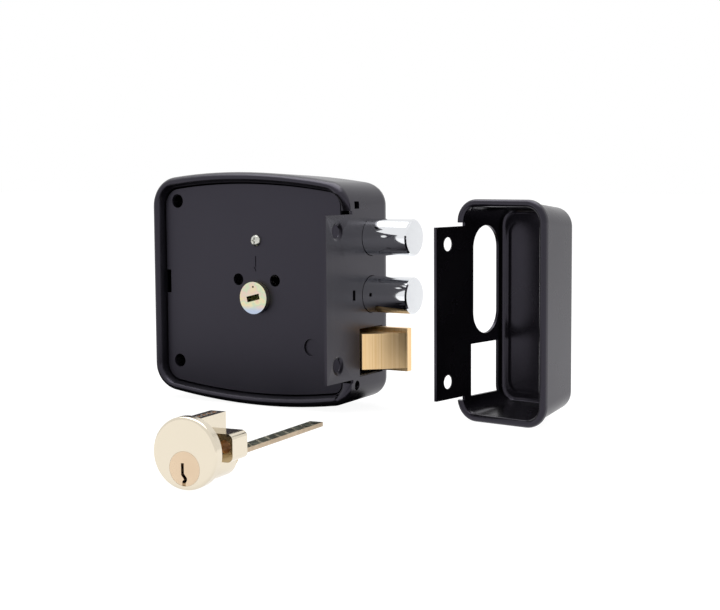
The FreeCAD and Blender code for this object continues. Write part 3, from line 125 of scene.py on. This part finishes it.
class LockSizes(PropertyGroup):
    """Sizes of the small details."""

    arch_lean: FloatProperty(
        name="Arch lean",
        description="How far the arches' crowns lie off the middle",
        default=8.0 * MM,
        unit="LENGTH",
    )
    wall_draft: FloatProperty(
        name="Wall draft",
        description="How much the case narrows towards the room",
        default=1.8 * MM,
        unit="LENGTH",
    )
    rim_crest: FloatProperty(
        name="Rim crest",
        description="Height of the rim in front of the back plate",
        default=5.5 * MM,
        unit="LENGTH",
    )
    rim_run_out: FloatProperty(
        name="Rim run-out",
        description="Height over which the rim falls to the forend",
        default=9.5 * MM,
        unit="LENGTH",
    )
    flange_reach: FloatProperty(
        name="Flange",
        description="Front edge of the flange before the back plate",
        default=24.0 * MM,
        unit="LENGTH",
    )
    score_count: IntProperty(
        name="Scores",
        description="Number of scores across the tailpiece",
        default=10,
        min=1,
    )
    coat_grain: FloatProperty(
        name="Coat grain",
        description="Width of the powder coat's orange peel",
        default=0.9 * MM,
        unit="LENGTH",
    )
    brush_width: FloatProperty(
        name="Brush lines",
        description="Width of the brushed lines on the latch",
        default=0.35 * MM,
        unit="LENGTH",
    )
    screw_head: FloatProperty(
        name="Screw head",
        description="Diameter of the plate screw's head",
        default=6.4 * MM,
        unit="LENGTH",
    )
    score_spacing: FloatProperty(
        name="Score spacing",
        description="Distance between the tailpiece's scores",
        default=8.2 * MM,
        unit="LENGTH",
    )
    thread_pitch: FloatProperty(
        name="Thread pitch",
        description="Pitch of the threads in the cylinder's lugs",
        default=0.8 * MM,
        unit="LENGTH",
    )


class LockColours(PropertyGroup):
    """Colours of the finishes, as sRGB hex values."""

    case: StringProperty(name="Case", description="Powder coat of the case", default="#0d0c0f")
    plate: StringProperty(name="Back plate", description="Charcoal coat of the back plate", default="#121116")
    strike: StringProperty(name="Strike", description="Black coat of the strike", default="#060507")
    chrome: StringProperty(name="Bolts", description="Chrome plating of the bolts", default="#e6e8eb")
    latch: StringProperty(name="Latch", description="Brushed brass of the latch", default="#ffdfaf")
    cylinder: StringProperty(name="Cylinder", description="Polished brass of the cylinder", default="#ddd3c0")
    plug: StringProperty(name="Plug", description="Bare brass of the plug's face", default="#d9c2a6")


def linear(hex_code):
    """An sRGB hex value as linear colour with alpha."""
    channels = [int(hex_code[i : i + 2], 16) / 255 for i in (1, 3, 5)]
    return tuple(c / 12.92 if c <= 0.04045 else ((c + 0.055) / 1.055) ** 2.4 for c in channels) + (1.0,)


def add(tree, kind, settings=None, values=None, links=None):
    """Add a node, set its properties and input values, and link its inputs."""
    made = tree.nodes.new(kind)
    for name, value in (settings or {}).items():
        setattr(made, name, value)
    for name, value in (values or {}).items():
        made.inputs[name].default_value = value
    for name, source in (links or {}).items():
        tree.links.new(source, made.inputs[name])
    return made


def new_material(name, roughness, metallic=0.0, colour="#808080"):
    """An empty material: its tree, its surface shader and the object's own coordinates."""
    material = bpy.data.materials.new(name)
    material.use_nodes = True
    tree = material.node_tree
    tree.nodes.clear()
    values = {"Base Color": linear(colour), "Metallic": metallic, "Roughness": roughness}
    shader = add(tree, "ShaderNodeBsdfPrincipled", values=values)
    add(tree, "ShaderNodeOutputMaterial", links={"Surface": shader.outputs[0]})
    place = add(tree, "ShaderNodeTexCoord")
    return material, tree, shader, place.outputs["Object"]


def stretched(tree, place, scale):
    """Coordinates stretched by a scale on each axis."""
    return add(tree, "ShaderNodeMapping", values={"Scale": scale}, links={"Vector": place}).outputs[0]


def noise(tree, place, scale, detail=2.0):
    values = {"Scale": scale, "Detail": detail}
    return add(tree, "ShaderNodeTexNoise", values=values, links={"Vector": place}).outputs["Fac"]


def ramp(tree, source, stops):
    """A colour or grey by position: stops are (position, hex value or grey)."""
    made = add(tree, "ShaderNodeValToRGB", links={"Fac": source})
    elements = made.color_ramp.elements
    while len(elements) < len(stops):
        elements.new(0.5)
    for element, (position, value) in zip(elements, stops):
        element.position = position
        element.color = linear(value) if isinstance(value, str) else (value, value, value, 1.0)
    return made.outputs["Color"]


def bump(tree, shader, height, depth, strength=1.0):
    values = {"Distance": depth, "Strength": strength}
    made = add(tree, "ShaderNodeBump", values=values, links={"Height": height})
    tree.links.new(made.outputs["Normal"], shader.inputs["Normal"])


def tinted(tree, share, base, hex_code):
    """A colour laid over another by a share from 0 to 1."""
    made = add(tree, "ShaderNodeMix", settings={"data_type": "RGBA"}, links={"Factor": share})
    tree.links.new(base, made.inputs[6])
    made.inputs[7].default_value = linear(hex_code)
    return made.outputs[2]


def powder_coat(name, colour, lighter, roughness):
    """Powder-coated steel: a satin film with a fine orange peel and a faint violet sheen."""
    material, tree, shader, place = new_material(name, roughness, colour=colour)
    grain = bpy.context.scene.lock_sizes.coat_grain
    cloud = noise(tree, place, 30.0, 3.0)
    tree.links.new(ramp(tree, cloud, [(0.35, colour), (0.65, lighter)]), shader.inputs["Base Color"])
    rough = ramp(tree, cloud, [(0.3, roughness - 0.03), (0.7, roughness + 0.03)])
    tree.links.new(rough, shader.inputs["Roughness"])
    shader.inputs["Specular Tint"].default_value = linear("#ece5ff")
    bump(tree, shader, noise(tree, place, 1 / grain, 1.0), 0.004 * MM, 0.5)
    return material


def chrome_plate(name, colour):
    """Chrome on a turned steel bolt: mirror-bright sides and a fine faced end that scatters light."""
    material, tree, shader, place = new_material(name, 0.05, 1.0, colour)
    along = add(tree, "ShaderNodeSeparateXYZ", links={"Vector": place}).outputs["X"]
    faced = add(
        tree,
        "ShaderNodeMath",
        settings={"operation": "GREATER_THAN"},
        values={1: BOLT_END_X - 0.05 * MM},
        links={0: along},
    ).outputs[0]
    turned = noise(tree, stretched(tree, place, (1.0, 60.0, 900.0)), 4.0, 2.0)
    rough = ramp(tree, turned, [(0.3, 0.035), (0.7, 0.09)])
    end = ramp(tree, turned, [(0.3, 0.3), (0.7, 0.42)])
    mixed = add(
        tree, "ShaderNodeMix", settings={"data_type": "RGBA"}, links={"Factor": faced, "A": rough, "B": end}
    )
    tree.links.new(mixed.outputs["Result"], shader.inputs["Roughness"])
    return material


def brushed_brass(name, colour, darker):
    """Belt-ground brass: fine upright lines that streak the reflection."""
    material, tree, shader, place = new_material(name, 0.3, 1.0, colour)
    width = bpy.context.scene.lock_sizes.brush_width
    lines = noise(tree, stretched(tree, place, (1 / width, 1 / width, 12.0)), 1.0, 3.0)
    tree.links.new(ramp(tree, lines, [(0.3, darker), (0.7, colour)]), shader.inputs["Base Color"])
    tree.links.new(ramp(tree, lines, [(0.3, 0.28), (0.7, 0.42)]), shader.inputs["Roughness"])
    bump(tree, shader, lines, 0.01 * MM, 0.5)
    return material


def polished_brass(name, colour, roughness):
    """Polished and lacquered brass: warm, nearly mirror-bright, with faint polishing clouds."""
    material, tree, shader, place = new_material(name, roughness, 1.0, colour)
    cloud = noise(tree, place, 120.0, 3.0)
    rough = ramp(tree, cloud, [(0.3, roughness * 0.8), (0.7, roughness * 1.3)])
    tree.links.new(rough, shader.inputs["Roughness"])
    bump(tree, shader, noise(tree, place, 350.0, 1.0), 0.004 * MM, 0.5)
    return material


def bare_metal(name, colour, darker, roughness, grain=0.5):
    """Stamped or turned metal: uneven greys and a fine grain."""
    material, tree, shader, place = new_material(name, roughness, 1.0, colour)
    cloud = noise(tree, place, 1 / (grain * 10 * MM), 4.0)
    tree.links.new(ramp(tree, cloud, [(0.3, darker), (0.7, colour)]), shader.inputs["Base Color"])
    rough = ramp(tree, cloud, [(0.3, roughness * 0.8), (0.7, roughness * 1.2)])
    tree.links.new(rough, shader.inputs["Roughness"])
    bump(tree, shader, noise(tree, place, 1 / (grain * MM), 2.0), 0.01 * MM, 0.5)
    return material


def yellow_zinc(name):
    """Yellow-passivated zinc: a pale gold film with pink, green and blue patches, and painted shade as a dark
    dot where a punched pinhole lies.
    """
    material, tree, shader, place = new_material(name, 0.3, 1.0, "#d8d3b4")
    patches = noise(tree, place, 170.0, 3.0)
    stops = [(0.3, "#dcb8a8"), (0.42, "#ded5ae"), (0.52, "#c3d2b4"), (0.62, "#dcc3b6"), (0.72, "#d9d0a4")]
    film = ramp(tree, patches, stops)
    height = add(tree, "ShaderNodeSeparateXYZ", links={"Vector": place}).outputs["Z"]
    low = add(tree, "ShaderNodeMapRange", values={1: -4.2 * MM, 2: -7.0 * MM}, links={0: height}).outputs[0]
    blue = tinted(tree, low, film, "#b4c0d6")
    # Painted shade: a small dark dot stands for the shade inside a punched pinhole that the mesh does not
    # have.
    gap = add(
        tree,
        "ShaderNodeVectorMath",
        settings={"operation": "DISTANCE"},
        values={1: (HUB_X, HUB_FACE_Y, 6.0 * MM)},
        links={0: place},
    ).outputs["Value"]
    pinhole_shade = add(tree, "ShaderNodeMapRange", values={1: 0.65 * MM, 2: 0.45 * MM}, links={0: gap}).outputs[0]
    tree.links.new(tinted(tree, pinhole_shade, blue, "#241f1a"), shader.inputs["Base Color"])
    bump(tree, shader, noise(tree, place, 900.0, 2.0), 0.006 * MM, 0.4)
    return material


def link(obj):
    bpy.context.scene.collection.objects.link(obj)
    return obj


def dress(material, *names):
    """Give CAD nodes a material."""
    for name in names:
        slots = NODES[name].data.materials
        slots.clear()
        slots.append(material)


def weld(node):
    """A merged copy of a CAD node's mesh as vertices and faces, in place."""
    source = NODES[node]
    welded = bmesh.new()
    welded.from_mesh(source.data)
    welded.transform(source.matrix_world)
    bmesh.ops.remove_doubles(welded, verts=welded.verts, dist=0.002 * MM)
    points = [vertex.co.copy() for vertex in welded.verts]
    faces = [[vertex.index for vertex in face.verts] for face in welded.faces]
    welded.free()
    return points, faces


def finish_piece(name, points, faces, material, body, nodes=(), angle=32.0):
    """A finished mesh with weighted normals, riding on its body."""
    mesh = bpy.data.meshes.new(name)
    mesh.from_pydata(points, [], faces)
    mesh.materials.append(material)
    mesh.shade_smooth()
    mesh.set_sharp_from_angle(angle=math.radians(angle))
    piece = link(bpy.data.objects.new(name, mesh))
    even = piece.modifiers.new("even_normals", "WEIGHTED_NORMAL")
    even.keep_sharp = True
    return settle(piece, body, nodes)


def settle(piece, body, nodes=()):
    """Turn a piece with live modifiers into a plain mesh and hand it to its body."""
    bpy.context.view_layer.update()
    evaluated = piece.evaluated_get(bpy.context.evaluated_depsgraph_get())
    mesh = bpy.data.meshes.new_from_object(evaluated)
    piece.modifiers.clear()
    piece.data = mesh
    mesh.name = piece.name
    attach(piece, body)
    if nodes:
        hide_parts(*nodes)
    return piece


def share_of(value, start, end):
    """How far a value lies from start to end, held between 0 and 1."""
    return min(1.0, max(0.0, (value - start) / (end - start)))


def drawn_form(point, sizes):
    """Move a point of the plain case to the drawn one: leaning arches, drafted walls and a proud rim."""
    x, y, z = point
    up = (z - CASE_MIDDLE[2]) / HALF_HEIGHT
    near_edge = up**4
    slope = sizes.arch_lean / ARCH_RADIUS
    crown = slope * slope * ARCH_RADIUS / 2
    lean = -(x - CASE_MIDDLE[0]) * slope - math.copysign(crown, up)
    depth = share_of(y, 0.0, CASE_HIGH[1])
    z += near_edge * (lean - up * sizes.wall_draft * depth)
    x += sizes.wall_draft * depth * (x / CASE_LOW[0]) ** 4
    on_flange = x > FLANGE_SIDE_X and FLANGE_Z[0] < point[2] < FLANGE_Z[1]
    if on_flange and y < -FLANGE_HOLES_END:
        stretch = (sizes.flange_reach - FLANGE_HOLES_END) / (-CASE_LOW[1] - FLANGE_HOLES_END)
        y = min(y, -FLANGE_HOLES_END - (-y - FLANGE_HOLES_END) * stretch)
    elif y < 0 and not on_flange:
        end = abs(RIM_ENDS[1] if up > 0 else RIM_ENDS[0])
        beside_forend = x > RIM_SIDE_X
        grown = share_of(abs(point[2]), end, end + sizes.rim_run_out) if beside_forend else 1.0
        y *= CREST_AT_FOREND + (sizes.rim_crest / SOLID_CREST - CREST_AT_FOREND) * grown
    return (x, y, z)


def draw_out(name, node, material):
    """A CAD node in its drawn form."""
    sizes = bpy.context.scene.lock_sizes
    points, faces = weld(node)
    finish_piece(name, [drawn_form(point, sizes) for point in points], faces, material, "case", [node])


def row_tree(name, shape):
    """Geometry Nodes that set a block, a disc or a ring along a straight row."""
    tree = bpy.data.node_groups.new(name, "GeometryNodeTree")
    sockets = (
        ("Count", "NodeSocketInt"),
        ("Start", "NodeSocketVector"),
        ("Step", "NodeSocketVector"),
        ("Size", "NodeSocketVector"),
        ("Turn", "NodeSocketVector"),
        ("Finish", "NodeSocketMaterial"),
    )
    for label, kind in sockets:
        tree.interface.new_socket(name=label, in_out="INPUT", socket_type=kind)
    tree.interface.new_socket(name="Geometry", in_out="OUTPUT", socket_type="NodeSocketGeometry")
    given = tree.nodes.new("NodeGroupInput").outputs
    places = add(
        tree,
        "GeometryNodeMeshLine",
        settings={"mode": "OFFSET"},
        links={"Count": given["Count"], "Start Location": given["Start"], "Offset": given["Step"]},
    )
    if shape == "block":
        form = add(tree, "GeometryNodeMeshCube").outputs["Mesh"]
    elif shape == "disc":
        values = {"Vertices": 20, "Radius": 0.5, "Depth": 1.0}
        form = add(tree, "GeometryNodeMeshCylinder", values=values).outputs["Mesh"]
    else:
        ring = add(tree, "GeometryNodeCurvePrimitiveCircle", values={"Resolution": 40, "Radius": 0.5})
        wire = add(tree, "GeometryNodeCurvePrimitiveCircle", values={"Resolution": 3, "Radius": 0.05})
        links = {"Curve": ring.outputs["Curve"], "Profile Curve": wire.outputs["Curve"]}
        form = add(tree, "GeometryNodeCurveToMesh", links=links).outputs["Mesh"]
    links = {
        "Points": places.outputs["Mesh"],
        "Instance": form,
        "Rotation": given["Turn"],
        "Scale": given["Size"],
    }
    placed = add(tree, "GeometryNodeInstanceOnPoints", links=links)
    real = add(tree, "GeometryNodeRealizeInstances", links={"Geometry": placed.outputs["Instances"]})
    done = add(
        tree,
        "GeometryNodeSetMaterial",
        links={"Geometry": real.outputs["Geometry"], "Material": given["Finish"]},
    )
    add(tree, "NodeGroupOutput", links={"Geometry": done.outputs["Geometry"]})
    return tree


def make_row(name, shape, body, slot, **inputs):
    """One row of repeated small forms as a plain mesh."""
    piece = link(bpy.data.objects.new(name, bpy.data.meshes.new(name)))
    tree = row_tree(name + "_row", shape)
    modifier = piece.modifiers.new("row", "NODES")
    modifier.node_group = tree
    for item in tree.interface.items_tree:
        if item.item_type == "SOCKET" and item.in_out == "INPUT":
            modifier[item.identifier] = inputs[item.name]
    return settle(piece, body)


def on_cylinder(x, y, z):
    """A place given in the cylinder's own frame, in millimetres."""
    turned = Matrix.Rotation(CYLINDER_YAW, 3, "Z") @ Vector((x, y, z))
    return CYLINDER_FACE + turned * MM


def turned_screw(width):
    """Points and faces of the screw's head and shank, turned about its axis."""
    points, faces = [], []
    for index in range(SCREW_SIDES):
        turn = math.tau * index / SCREW_SIDES
        for radius, y in SCREW_OUTLINE:
            reach = radius * (width / 2) / SCREW_HEAD_RADIUS
            points.append((HUB_X + reach * math.cos(turn), y * MM, SCREW_Z + reach * math.sin(turn)))
    rows = len(SCREW_OUTLINE)
    for index in range(SCREW_SIDES):
        after = (index + 1) % SCREW_SIDES
        for row in range(rows - 1):
            here, beside = index * rows + row, after * rows + row
            faces.append((here, here + 1, beside + 1, beside))
    return points, faces


def recess_bar(width, height):
    """One bar of the cross that is cut into the screw's head, narrower at its bottom."""
    mesh = bpy.data.meshes.new("recess_bar")
    shape = bmesh.new()
    bmesh.ops.create_cube(shape, size=1.0)
    for vertex in shape.verts:
        x, y, z = vertex.co
        taper = 0.6 if y > 0 else 1.0
        vertex.co = Vector((x * width * taper, y * RECESS_DEPTH, z * height * taper)) * MM
        vertex.co += Vector((HUB_X, RECESS_Y, SCREW_Z))
    shape.to_mesh(mesh)
    shape.free()
    return link(bpy.data.objects.new("recess_bar", mesh))


def cross_screw(material, width):
    """The pan-head screw of the back plate: a domed head with a cross recess, and its shank."""
    mesh = bpy.data.meshes.new("plate_screw_with_recess")
    points, faces = turned_screw(width)
    mesh.from_pydata(points, [], faces)
    head = link(bpy.data.objects.new("plate_screw_with_recess", mesh))
    weld_poles(mesh)
    mesh.materials.append(material)
    cutters = [recess_bar(*RECESS_BAR), recess_bar(*reversed(RECESS_BAR))]
    for cutter in cutters:
        cut = head.modifiers.new("recess", "BOOLEAN")
        cut.operation, cut.solver, cut.object = "DIFFERENCE", "EXACT", cutter
    settle(head, "case", ["plate_screw"])
    for cutter in cutters:
        bpy.data.objects.remove(cutter)
    head.data.shade_smooth()
    head.data.set_sharp_from_angle(angle=math.radians(35.0))


def weld_poles(mesh):
    """Merge the repeated points at a turned piece's poles and point its faces outwards."""
    shape = bmesh.new()
    shape.from_mesh(mesh)
    bmesh.ops.remove_doubles(shape, verts=shape.verts, dist=0.001 * MM)
    bmesh.ops.recalc_face_normals(shape, faces=shape.faces)
    shape.to_mesh(mesh)
    shape.free()


class RIMLOCK_OT_case(Operator):
    """Draw the case's leaning arches and proud rim, and coat it and its back plate"""

    bl_idname = "rimlock.case"
    bl_label = "Case and back plate"

    def execute(self, context):
        colours = context.scene.lock_colours
        coat = powder_coat("powder_coated_case_steel", colours.case, "#121115", 0.3)
        draw_out("drawn_case", "case_shell", coat)
        charcoal = powder_coat("charcoal_coated_plate", colours.plate, "#17161b", 0.4)
        draw_out("fitted_back_plate", "back_plate", charcoal)
        dress(coat, "fixing_tubes")
        return {"FINISHED"}


class RIMLOCK_OT_bolts(Operator):
    """Chrome the two round bolts"""

    bl_idname = "rimlock.bolts"
    bl_label = "Bolts"

    def execute(self, context):
        chrome = chrome_plate("chromed_bolt_steel", context.scene.lock_colours.chrome)
        dress(chrome, "upper_bolt", "lower_bolt")
        return {"FINISHED"}


class RIMLOCK_OT_latch(Operator):
    """Brush the spring latch"""

    bl_idname = "rimlock.latch"
    bl_label = "Spring latch"

    def execute(self, context):
        dress(brushed_brass("ground_latch_brass", context.scene.lock_colours.latch, "#ecc48a"), "latch_bolt")
        return {"FINISHED"}


class RIMLOCK_OT_hub(Operator):
    """Plate the hub and finish the thumb turn"""

    bl_idname = "rimlock.hub"
    bl_label = "Hub and thumb turn"

    def execute(self, context):
        dress(yellow_zinc("yellow_zinc_plating"), "spindle")
        dress(bare_metal("satin_nickel_turn", "#b9b6ae", "#a5a29b", 0.3), "turn_knob")
        return {"FINISHED"}


class RIMLOCK_OT_strike(Operator):
    """Coat the box strike"""

    bl_idname = "rimlock.strike"
    bl_label = "Box strike"

    def execute(self, context):
        colour = context.scene.lock_colours.strike
        dress(powder_coat("powder_coated_strike_steel", colour, "#0a090b", 0.26), "strike_box")
        return {"FINISHED"}


class RIMLOCK_OT_cylinder(Operator):
    """Polish the rim cylinder and finish its plug and tailpiece"""

    bl_idname = "rimlock.cylinder"
    bl_label = "Rim cylinder"

    def execute(self, context):
        colours = context.scene.lock_colours
        sizes = context.scene.lock_sizes
        dress(polished_brass("polished_cylinder_brass", colours.cylinder, 0.14), "cylinder_housing")
        dress(polished_brass("bare_plug_brass", colours.plug, 0.3), "cylinder_plug", "key_pins")
        dress(bare_metal("staked_cap_metal", "#e9e6df", "#cfc9bd", 0.3), "chamber_plugs", "driver_pins")
        dress(bare_metal("drawn_tailpiece_brass", "#cdb9a0", "#a8957c", 0.35), "tailpiece")
        dress(bare_metal("turned_retainer_brass", "#d9bf85", "#b99a5c", 0.3), "tail_retainer", "spindle_bush")
        # Darker brown brass for the discs on the chamber plugs' staking marks and the rings at the lug
        # threads.
        dark_brown_brass = bare_metal("dark_brown_cap_and_thread_brass", "#b88450", "#8a5c34", 0.4)
        # A thin grey-green sheet over the tailpiece's top face makes it darker than the rosy-tan sides of the
        # same blade.
        grey_green_top = bare_metal("grey_green_blade_top", "#6f7264", "#4b4e45", 0.4)
        bright = bare_metal("scored_bright_brass", "#e3ddc8", "#c9c2a8", 0.3)
        along = on_cylinder(0, 1, 0) - on_cylinder(0, 0, 0)
        flat = (0.0, 0.0, CYLINDER_YAW)
        make_row(
            "chamber_plug_stakings",
            "disc",
            "case",
            "brass",
            Count=PIN_COUNT,
            Start=on_cylinder(0.0, 7.6, 13.4),
            Step=along * PIN_PITCH,
            Size=Vector((1.7, 1.7, 0.1)) * MM,
            Turn=(0.0, 0.0, 0.0),
            Finish=dark_brown_brass,
        )
        make_row(
            "tailpiece_top_sheet",
            "block",
            "plug",
            "steel",
            Count=1,
            Start=on_cylinder(0.0, 73.5, -4.98),
            Step=along,
            Size=Vector((6.5, 84.0, 0.06)) * MM,
            Turn=flat,
            Finish=grey_green_top,
        )
        make_row(
            "tailpiece_scores",
            "block",
            "plug",
            "steel",
            Count=sizes.score_count,
            Start=on_cylinder(0.0, 36.0, -4.95),
            Step=along * (sizes.score_spacing / MM),
            Size=Vector((8.4, 1.1, 0.1)) * MM,
            Turn=(0.0, 0.0, CYLINDER_YAW - SCORE_SLANT),
            Finish=bright,
        )
        for side, label in ((-1, "left"), (1, "right")):
            make_row(
                f"{label}_lug_thread",
                "ring",
                "case",
                "brass",
                Count=int(THREAD_LENGTH / sizes.thread_pitch),
                Start=on_cylinder(12.0 * side, 12.2, 1.8),
                Step=along * (sizes.thread_pitch / MM),
                Size=Vector((5.4, 5.4, 5.4)) * MM,
                Turn=(math.radians(90.0), 0.0, CYLINDER_YAW),
                Finish=dark_brown_brass,
            )
        return {"FINISHED"}


class RIMLOCK_OT_works(Operator):
    """Finish the steel works inside the case and the fasteners"""

    bl_idname = "rimlock.works"
    bl_label = "Works"

    def execute(self, context):
        steel = bare_metal("stamped_steel", "#a9a9a8", "#858583", 0.38)
        zinc = bare_metal("bright_zinc_plating", "#dcdcd6", "#b9b9b0", 0.25)
        cross_screw(zinc, context.scene.lock_sizes.screw_head)
        dress(zinc, "guide_pillar", "knob_set_screw")
        dress(steel, *STEEL_WORKS)
        return {"FINISHED"}


class RIMLOCK_OT_stage(Operator):
    """Make the floor, the lamps and the camera"""

    bl_idname = "rimlock.stage"
    bl_label = "Stage"

    def execute(self, context):
        make_floor()
        make_world()
        make_lamps()
        make_card()
        make_camera(context.scene)
        context.scene.view_settings.view_transform = "Standard"
        return {"FINISHED"}


def make_floor():
    """A wide pale floor that renders white and keeps a faint contact shadow."""
    mesh = bpy.data.meshes.new("floor")
    half = 6.0
    corners = [(-half, -half, FLOOR_Z), (half, -half, FLOOR_Z), (half, half, FLOOR_Z), (-half, half, FLOOR_Z)]
    mesh.from_pydata(corners, [], [(0, 1, 2, 3)])
    floor = link(bpy.data.objects.new("floor", mesh))
    material, tree, shader, _ = new_material("pale_floor_paint", 0.9, colour="#707070")
    light = add(tree, "ShaderNodeLightPath")
    seen = add(
        tree,
        "ShaderNodeMath",
        settings={"operation": "MAXIMUM"},
        links={0: light.outputs["Is Camera Ray"], 1: light.outputs["Is Glossy Ray"]},
    )
    shader.inputs["Emission Color"].default_value = (1.0, 1.0, 1.0, 1.0)
    glow = add(
        tree,
        "ShaderNodeMath",
        settings={"operation": "MULTIPLY"},
        values={1: 0.93},
        links={0: seen.outputs[0]},
    )
    tree.links.new(glow.outputs[0], shader.inputs["Emission Strength"])
    mesh.materials.append(material)


def make_world():
    """White behind the object for the eye and for reflections, softer for the light it gives."""
    world = bpy.data.worlds.new("studio")
    bpy.context.scene.world = world
    world.use_nodes = True
    tree = world.node_tree
    tree.nodes.clear()
    light = add(tree, "ShaderNodeLightPath")
    through = add(
        tree,
        "ShaderNodeMath",
        settings={"operation": "MAXIMUM"},
        links={0: light.outputs["Is Camera Ray"], 1: light.outputs["Is Transmission Ray"]},
    )
    seen = add(
        tree,
        "ShaderNodeMath",
        settings={"operation": "MAXIMUM"},
        links={0: through.outputs[0], 1: light.outputs["Is Glossy Ray"]},
    )
    strength = add(tree, "ShaderNodeMapRange", values={3: 0.45, 4: 1.0}, links={0: seen.outputs[0]})
    back = add(
        tree,
        "ShaderNodeBackground",
        values={"Color": (1.0, 1.0, 1.0, 1.0)},
        links={"Strength": strength.outputs[0]},
    )
    add(tree, "ShaderNodeOutputWorld", links={"Surface": back.outputs[0]})


def make_lamps():
    """Soft boxes: a large one overhead, one from the left front and a weaker one from the right."""
    lamps = (
        ("overhead", (-0.1, 0.1, 0.9), (0.0, 0.0, 0.0), (1.1, 0.9), 9.0),
        ("left_front", (-0.9, -0.8, 0.45), (0.0, 0.0, 0.0), (0.7, 0.9), 6.0),
        ("right_front", (0.95, -0.35, 0.35), (0.0, 0.0, 0.0), (0.5, 0.8), 4.0),
    )
    for name, place, aim, size, power in lamps:
        data = bpy.data.lights.new(name, "AREA")
        data.shape = "RECTANGLE"
        data.size, data.size_y = size
        data.energy = power
        lamp = link(bpy.data.objects.new(name, data))
        lamp.location = place
        towards = Vector(aim) - Vector(place)
        lamp.rotation_mode = "QUATERNION"
        lamp.rotation_quaternion = towards.to_track_quat("-Z", "Y")
        lamp.visible_glossy = name == "overhead"


def make_card():
    """A dark card on the floor that only reflections see, for the dark lower half of the chrome."""
    material, _, shader, _ = new_material("dark_card", 0.9, colour="#08070a")
    shader.inputs["Specular IOR Level"].default_value = 0.0
    left, right, front, back = -0.2, 0.03, -0.1, 0.03
    height = FLOOR_Z + 0.3 * MM
    corners = [(left, front, height), (right, front, height), (right, back, height), (left, back, height)]
    mesh = bpy.data.meshes.new("low_card")
    mesh.from_pydata(corners, [], [(0, 1, 2, 3)])
    mesh.materials.append(material)
    card = link(bpy.data.objects.new("low_card", mesh))
    card.visible_camera = False
    card.visible_diffuse = False
    card.visible_transmission = False
    card.visible_shadow = False


def make_camera(scene):
    """The photograph's viewpoint: 75 mm lens, from the forend's side, a little above."""
    azimuth, elevation, roll = math.radians(31.26), math.radians(5.18), math.radians(-0.35)
    level_reach = math.cos(elevation)
    back = Vector((math.sin(azimuth) * level_reach, -math.cos(azimuth) * level_reach, math.sin(elevation)))
    level = Vector((math.cos(azimuth), math.sin(azimuth), 0.0))
    upright = back.cross(level)
    right = level * math.cos(roll) + upright * math.sin(roll)
    up = upright * math.cos(roll) - level * math.sin(roll)
    data = bpy.data.cameras.new("camera")
    data.lens = 75.0
    data.sensor_width = 36.0
    data.clip_start = 0.01
    camera = link(bpy.data.objects.new("camera", data))
    place = Matrix((right, up, back)).transposed().to_4x4()
    place.translation = Vector((407.36, -662.30, 68.90)) * MM
    camera.matrix_world = place
    scene.camera = camera


class RIMLOCK_PT_panel(Panel):
    """The steps that dress the lock, in order"""

    bl_label = "Rim lock"
    bl_idname = "RIMLOCK_PT_panel"
    bl_space_type = "VIEW_3D"
    bl_region_type = "UI"
    bl_category = "Rim lock"

    def draw(self, context):
        for step in STEPS:
            self.layout.operator(step.bl_idname)


STEPS = (
    RIMLOCK_OT_case,
    RIMLOCK_OT_bolts,
    RIMLOCK_OT_latch,
    RIMLOCK_OT_hub,
    RIMLOCK_OT_strike,
    RIMLOCK_OT_cylinder,
    RIMLOCK_OT_works,
    RIMLOCK_OT_stage,
)
CLASSES = (LockSizes, LockColours, *STEPS, RIMLOCK_PT_panel)


def register():
    for kind in CLASSES:
        bpy.utils.register_class(kind)
    bpy.types.Scene.lock_sizes = PointerProperty(type=LockSizes)
    bpy.types.Scene.lock_colours = PointerProperty(type=LockColours)


def unregister():
    del bpy.types.Scene.lock_colours
    del bpy.types.Scene.lock_sizes
    for kind in reversed(CLASSES):
        bpy.utils.unregister_class(kind)


def main():
    register()
    for step in STEPS:
        group, name = step.bl_idname.split(".")
        getattr(getattr(bpy.ops, group), name)()
    bpy.context.view_layer.update()


if __name__ == "__main__":
    main()
